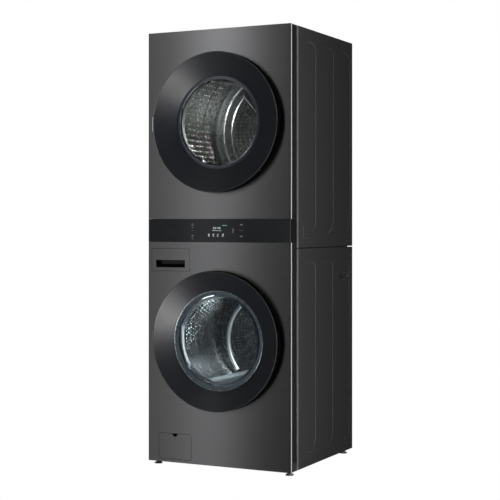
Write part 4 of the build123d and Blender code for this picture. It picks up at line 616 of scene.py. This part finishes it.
grip_satin, shader = new_finish("grip_satin", (0.05, 0.051, 0.053), 0.4, 0.6)
grain(grip_satin, shader, (8, 8, 900), 0.1, 0.05, 0.00001)
shape = bmesh.new()
add_box(shape, (slot_x + 0.028, face_y + 0.004, slot_top - 0.0165),
        (slot_end - 0.001, face_y + 0.007, slot_top - 0.0012))
new_piece("drawer_grip_bar", shape, "detergent_drawer", grip_satin)


# Control band.
# A strip of black glass runs across the front. Small marks are printed behind
# it round the touch areas and given a faint painted glow, and lit figures show
# in the middle.

band_glass, shader = new_finish("band_glass", (0.045, 0.048, 0.054), 0.12)
shader.inputs["Specular IOR Level"].default_value = 0.3
grain(band_glass, shader, (15, 15, 15), 0.05, 0.02, 0.000005)
dress(band_glass, "control_glass")

circuit, shader = new_finish("circuit", (0.02, 0.10, 0.05), 0.4)
grain(circuit, shader, (250, 250, 250), 0.5, 0.1, 0.0001)
dress(circuit, "control_board")

glass_low, glass_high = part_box("control_glass")
mark_y = glass_low.y - 0.0002
band_z = (glass_low.z + glass_high.z) / 2


def lit(name, colour, strength):
    """A lamp, or print with a faint painted glow, that shows through the glass."""
    finish, shader = new_finish(name, colour, 0.5)
    shader.inputs["Emission Color"].default_value = (*colour, 1.0)
    shader.inputs["Emission Strength"].default_value = strength
    grain(finish, shader, (500, 500, 500), 0.05, 0.05, 0.00001)
    return finish


def add_bar(shape, x, z, width, height):
    """A flat bar on the glass, given by its middle."""
    corners = [(x - width / 2, z - height / 2), (x + width / 2, z - height / 2),
               (x + width / 2, z + height / 2), (x - width / 2, z + height / 2)]
    shape.faces.new([shape.verts.new((cx, mark_y, cz)) for cx, cz in corners])


def add_hoop(shape, x, z, radius, width, start=0, end=360):
    """A flat arc on the glass, from one angle to another."""
    steps = max(3, round((end - start) / 15))
    rings = []
    for k in range(steps + 1):
        turn = math.radians(start + (end - start) * k / steps)
        rings.append([(x + r * math.cos(turn), mark_y, z + r * math.sin(turn))
                      for r in (radius - width / 2, radius + width / 2)])
    add_rings(shape, rings, closed=False)


def add_figure(shape, x, z, height, strokes):
    """One figure of seven strokes, as on a clock."""
    w, h, t = height * 0.52, height, height * 0.16
    for stroke in strokes:
        dx, dz, level = {"a": (0, h / 2, 1), "b": (w / 2, h / 4, 0),
                         "c": (w / 2, -h / 4, 0), "d": (0, -h / 2, 1),
                         "e": (-w / 2, -h / 4, 0), "f": (-w / 2, h / 4, 0),
                         "g": (0, 0, 1)}[stroke]
        add_bar(shape, x + dx, z + dz, w if level else t, t if level else h / 2)


# Painted light: the printed marks glow faintly though no lamp is behind them.
print_glow = lit("printed_mark_glow", (0.42, 0.43, 0.44), 0.25)
lamp_white = lit("lamp_white", (0.85, 0.92, 0.90), 0.5)
lamp_green = lit("lamp_green", (0.25, 0.62, 0.52), 0.5)

power_x, option_x, dial_x = -0.122, 0.1136, 0.0736
shape = bmesh.new()
for z in (band_z + 0.0256, band_z - 0.0230):
    add_hoop(shape, power_x, z, 0.0042, 0.0013, -240, 60)
    add_bar(shape, power_x, z + 0.003, 0.0013, 0.005)
    add_bar(shape, power_x, z - 0.0125, 0.0075, 0.0022)
for z in (band_z + 0.0252, band_z - 0.0247):
    for dx in (-0.0042, 0, 0.0042):
        add_bar(shape, option_x + dx, z, 0.0030, 0.0045)
add_bar(shape, power_x, band_z - 0.0007, 0.013, 0.0006)
add_bar(shape, 0.1123, band_z + 0.0002, 0.0206, 0.0006)
for dz in (-0.0065, 0, 0.0065):
    add_hoop(shape, dial_x, band_z + dz, 0.0014, 0.0016)
    add_bar(shape, 0.0775, band_z + dz, 0.0028, 0.0012)
new_piece("band_print", shape, "cabinet", print_glow)

clock_z, word_gap = band_z + 0.0107, 0.0013
key_xs = (-0.042, -0.020, 0.0007, 0.025)
drop_x, cycle_x, steps_x, knob_x = key_xs
shape = bmesh.new()
for x, strokes in ((-0.0190, "abcdef"), (-0.0105, "abcdef"), (0.0020, "bcfg"),
                   (0.0105, "abcdefg")):
    add_figure(shape, x, clock_z, 0.0075, strokes)
for dz in (-0.0018, 0.0018):
    add_bar(shape, -0.0042, clock_z + dz, 0.0013, 0.0013)
x = -0.0255
for width in (0.004, 0.006, 0.003, 0.007, 0.005, 0.004, 0.006):
    add_bar(shape, x + width / 2, band_z - 0.0001, width, 0.0018)
    x += width + word_gap
for x in key_xs:
    add_bar(shape, x, band_z - 0.0245, 0.0085, 0.0016)
add_hoop(shape, drop_x, band_z - 0.0185, 0.0028, 0.0018)
add_bar(shape, drop_x, band_z - 0.0145, 0.0018, 0.004)
add_hoop(shape, cycle_x, band_z - 0.0180, 0.0035, 0.0014, 0, 300)
add_hoop(shape, cycle_x, band_z - 0.0180, 0.0012, 0.0012)
for dx, dz in ((-0.002, -0.002), (0, 0), (0.002, 0.002)):
    add_bar(shape, steps_x + dx, band_z - 0.0175 + dz, 0.0028, 0.0024)
add_hoop(shape, knob_x, band_z - 0.0185, 0.0025, 0.0018)
add_hoop(shape, 0.0285, band_z - 0.0150, 0.0014, 0.0012)
new_piece("band_figures", shape, "cabinet", lamp_white)

lamp_z, lamp_gap = band_z + 0.0218, 0.0010
shape = bmesh.new()
x = 0.023
for width in (0.0035, 0.0035, 0.002, 0.004, 0.004):
    add_bar(shape, x + width / 2, lamp_z, width, 0.0032)
    x += width + lamp_gap
new_piece("band_lamps", shape, "cabinet", lamp_green)


# Studio.
# A pale floor and soft lights: tall strips draw bands on the skins and mark the
# edges, a small lamp lights each drum, and two panels shine on the doors alone.

def add_light(name, place, aim, size, power, spread=180):
    """A soft panel of light."""
    lamp = bpy.data.lights.new(name, "AREA")
    lamp.shape = "RECTANGLE"
    lamp.size, lamp.size_y = size
    lamp.energy = power
    lamp.spread = math.radians(spread)
    light = bpy.data.objects.new(name, lamp)
    light.location = place
    toward = Vector(aim) - Vector(place)
    light.rotation_euler = toward.to_track_quat("-Z", "Y").to_euler()
    light.visible_camera = False
    bpy.context.collection.objects.link(light)
    return light


add_light("strip_low", (-1.93, -3.9, 0.2), (-0.06, -0.35, 0.2), (0.32, 3.4), 2.5)
add_light("strip_high", (-1.86, -3.9, 3.1), (-0.02, -0.35, 3.1), (0.32, 2.4), 4.3)
add_light("strip_left", (-2.42, -3.9, 1.4), (-0.3, -0.35, 1.4), (0.7, 6.0), 2.7)
add_light("edge_light", (0.80, -0.45, 1.0), (0.343, -0.30, 1.0), (0.1, 2.6), 6.5)
add_light("rear_strip", (2.0, 3.3, 1.0), (0.343, -0.3, 1.0), (0.5, 4.5), 4.4)
add_light("bead_light", (2.5, -1.0, 1.0), (0.343, 0.0, 1.0), (0.5, 3.5), 1)
add_light("top_light", (0.5, -1.0, 4.0), (0, 0, 1.5), (3.0, 3.0), 4)
add_light("left_light", (-4.5, 0.8, 1.8), (-0.3, 0, 1.0), (2.5, 2.5), 90)
add_light("rear_light", (-1.5, 4.5, 2.6), (0, 0.35, 0.9), (3.0, 3.0), 90)
for name, x, up, aim, power, tint in (
        ("washer", 0.04, 0.20, -0.26, 5.5, (0.96, 1.0, 0.98)),
        ("dryer", 0.10, -0.10, -0.24, 7.0, (1.0, 0.93, 0.80))):
    low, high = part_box(name + "_drum")
    middle = (low.z + high.z) / 2
    light = add_light(name + "_drum_light", (x, low.y + 0.05, middle + up),
                      (-0.18, low.y + 0.24, middle + aim), (0.12, 0.05), power, 140)
    light.data.color = tint

glossy_parts = bpy.data.collections.new("glossy_parts")
for name in ("washer_door_ring", "washer_door_frame", "washer_door_bowl",
             "washer_door_glass_edge_highlight", "dryer_door_ring", "dryer_door_frame",
             "dryer_door_window", "dryer_door_glass_edge_highlight"):
    glossy_parts.objects.link(bpy.data.objects[name])
for name, z in (("washer", tub_z), ("dryer", drum_z)):
    light = add_light(name + "_sheen_light", (1.0, -9.57, z - 3.9), (0.0, -0.42, z),
                      (3.4, 3.4), 240)
    light.light_linking.receiver_collection = glossy_parts

world = bpy.data.worlds.new("studio_air")
world.use_nodes = True
bpy.context.scene.world = world
air = world.node_tree.nodes["Background"]
air.inputs["Color"].default_value = (1, 1, 1, 1)
air.inputs["Strength"].default_value = 0.07
backdrop = wire(world, "ShaderNodeBackground", {"Color": (1, 1, 1, 1), "Strength": 1.0})
seen = wire(world, "ShaderNodeLightPath", {})
both = wire(world, "ShaderNodeMixShader",
            {"Fac": seen.outputs["Is Camera Ray"], 1: air.outputs["Background"],
             2: backdrop.outputs["Background"]})
show(world, both)

pale_floor, shader = new_finish("pale_floor", (0.8, 0.8, 0.8), 0.7)
glow = wire(pale_floor, "ShaderNodeEmission", {"Color": (1, 1, 1, 1), "Strength": 1.0})
seen = wire(pale_floor, "ShaderNodeLightPath", {})
both = wire(pale_floor, "ShaderNodeMixShader",
            {"Fac": seen.outputs["Is Camera Ray"], 1: shader.outputs["BSDF"],
             2: glow.outputs["Emission"]})
show(pale_floor, both)
shape = bmesh.new()
floor_half = 60
corners = [(-floor_half, -floor_half), (floor_half, -floor_half),
           (floor_half, floor_half), (-floor_half, floor_half)]
shape.faces.new([shape.verts.new((x, y, 0.0)) for x, y in corners])
mesh = bpy.data.meshes.new("floor")
shape.to_mesh(mesh)
shape.free()
mesh.materials.append(pale_floor)
floor = bpy.data.objects.new("floor", mesh)
floor.visible_glossy = False
floor.visible_shadow = False
bpy.context.collection.objects.link(floor)

eye = bpy.data.cameras.new("camera")
eye.lens = 93.0
eye.sensor_width = 36.0
eye.shift_y = -0.052
camera = bpy.data.objects.new("camera", eye)
camera.location = (2.5783, -5.2305, 1.0538)
camera.rotation_euler = (math.radians(90), 0, math.radians(26.41))
bpy.context.collection.objects.link(camera)
bpy.context.scene.camera = camera
bpy.context.scene.view_settings.view_transform = "Standard"
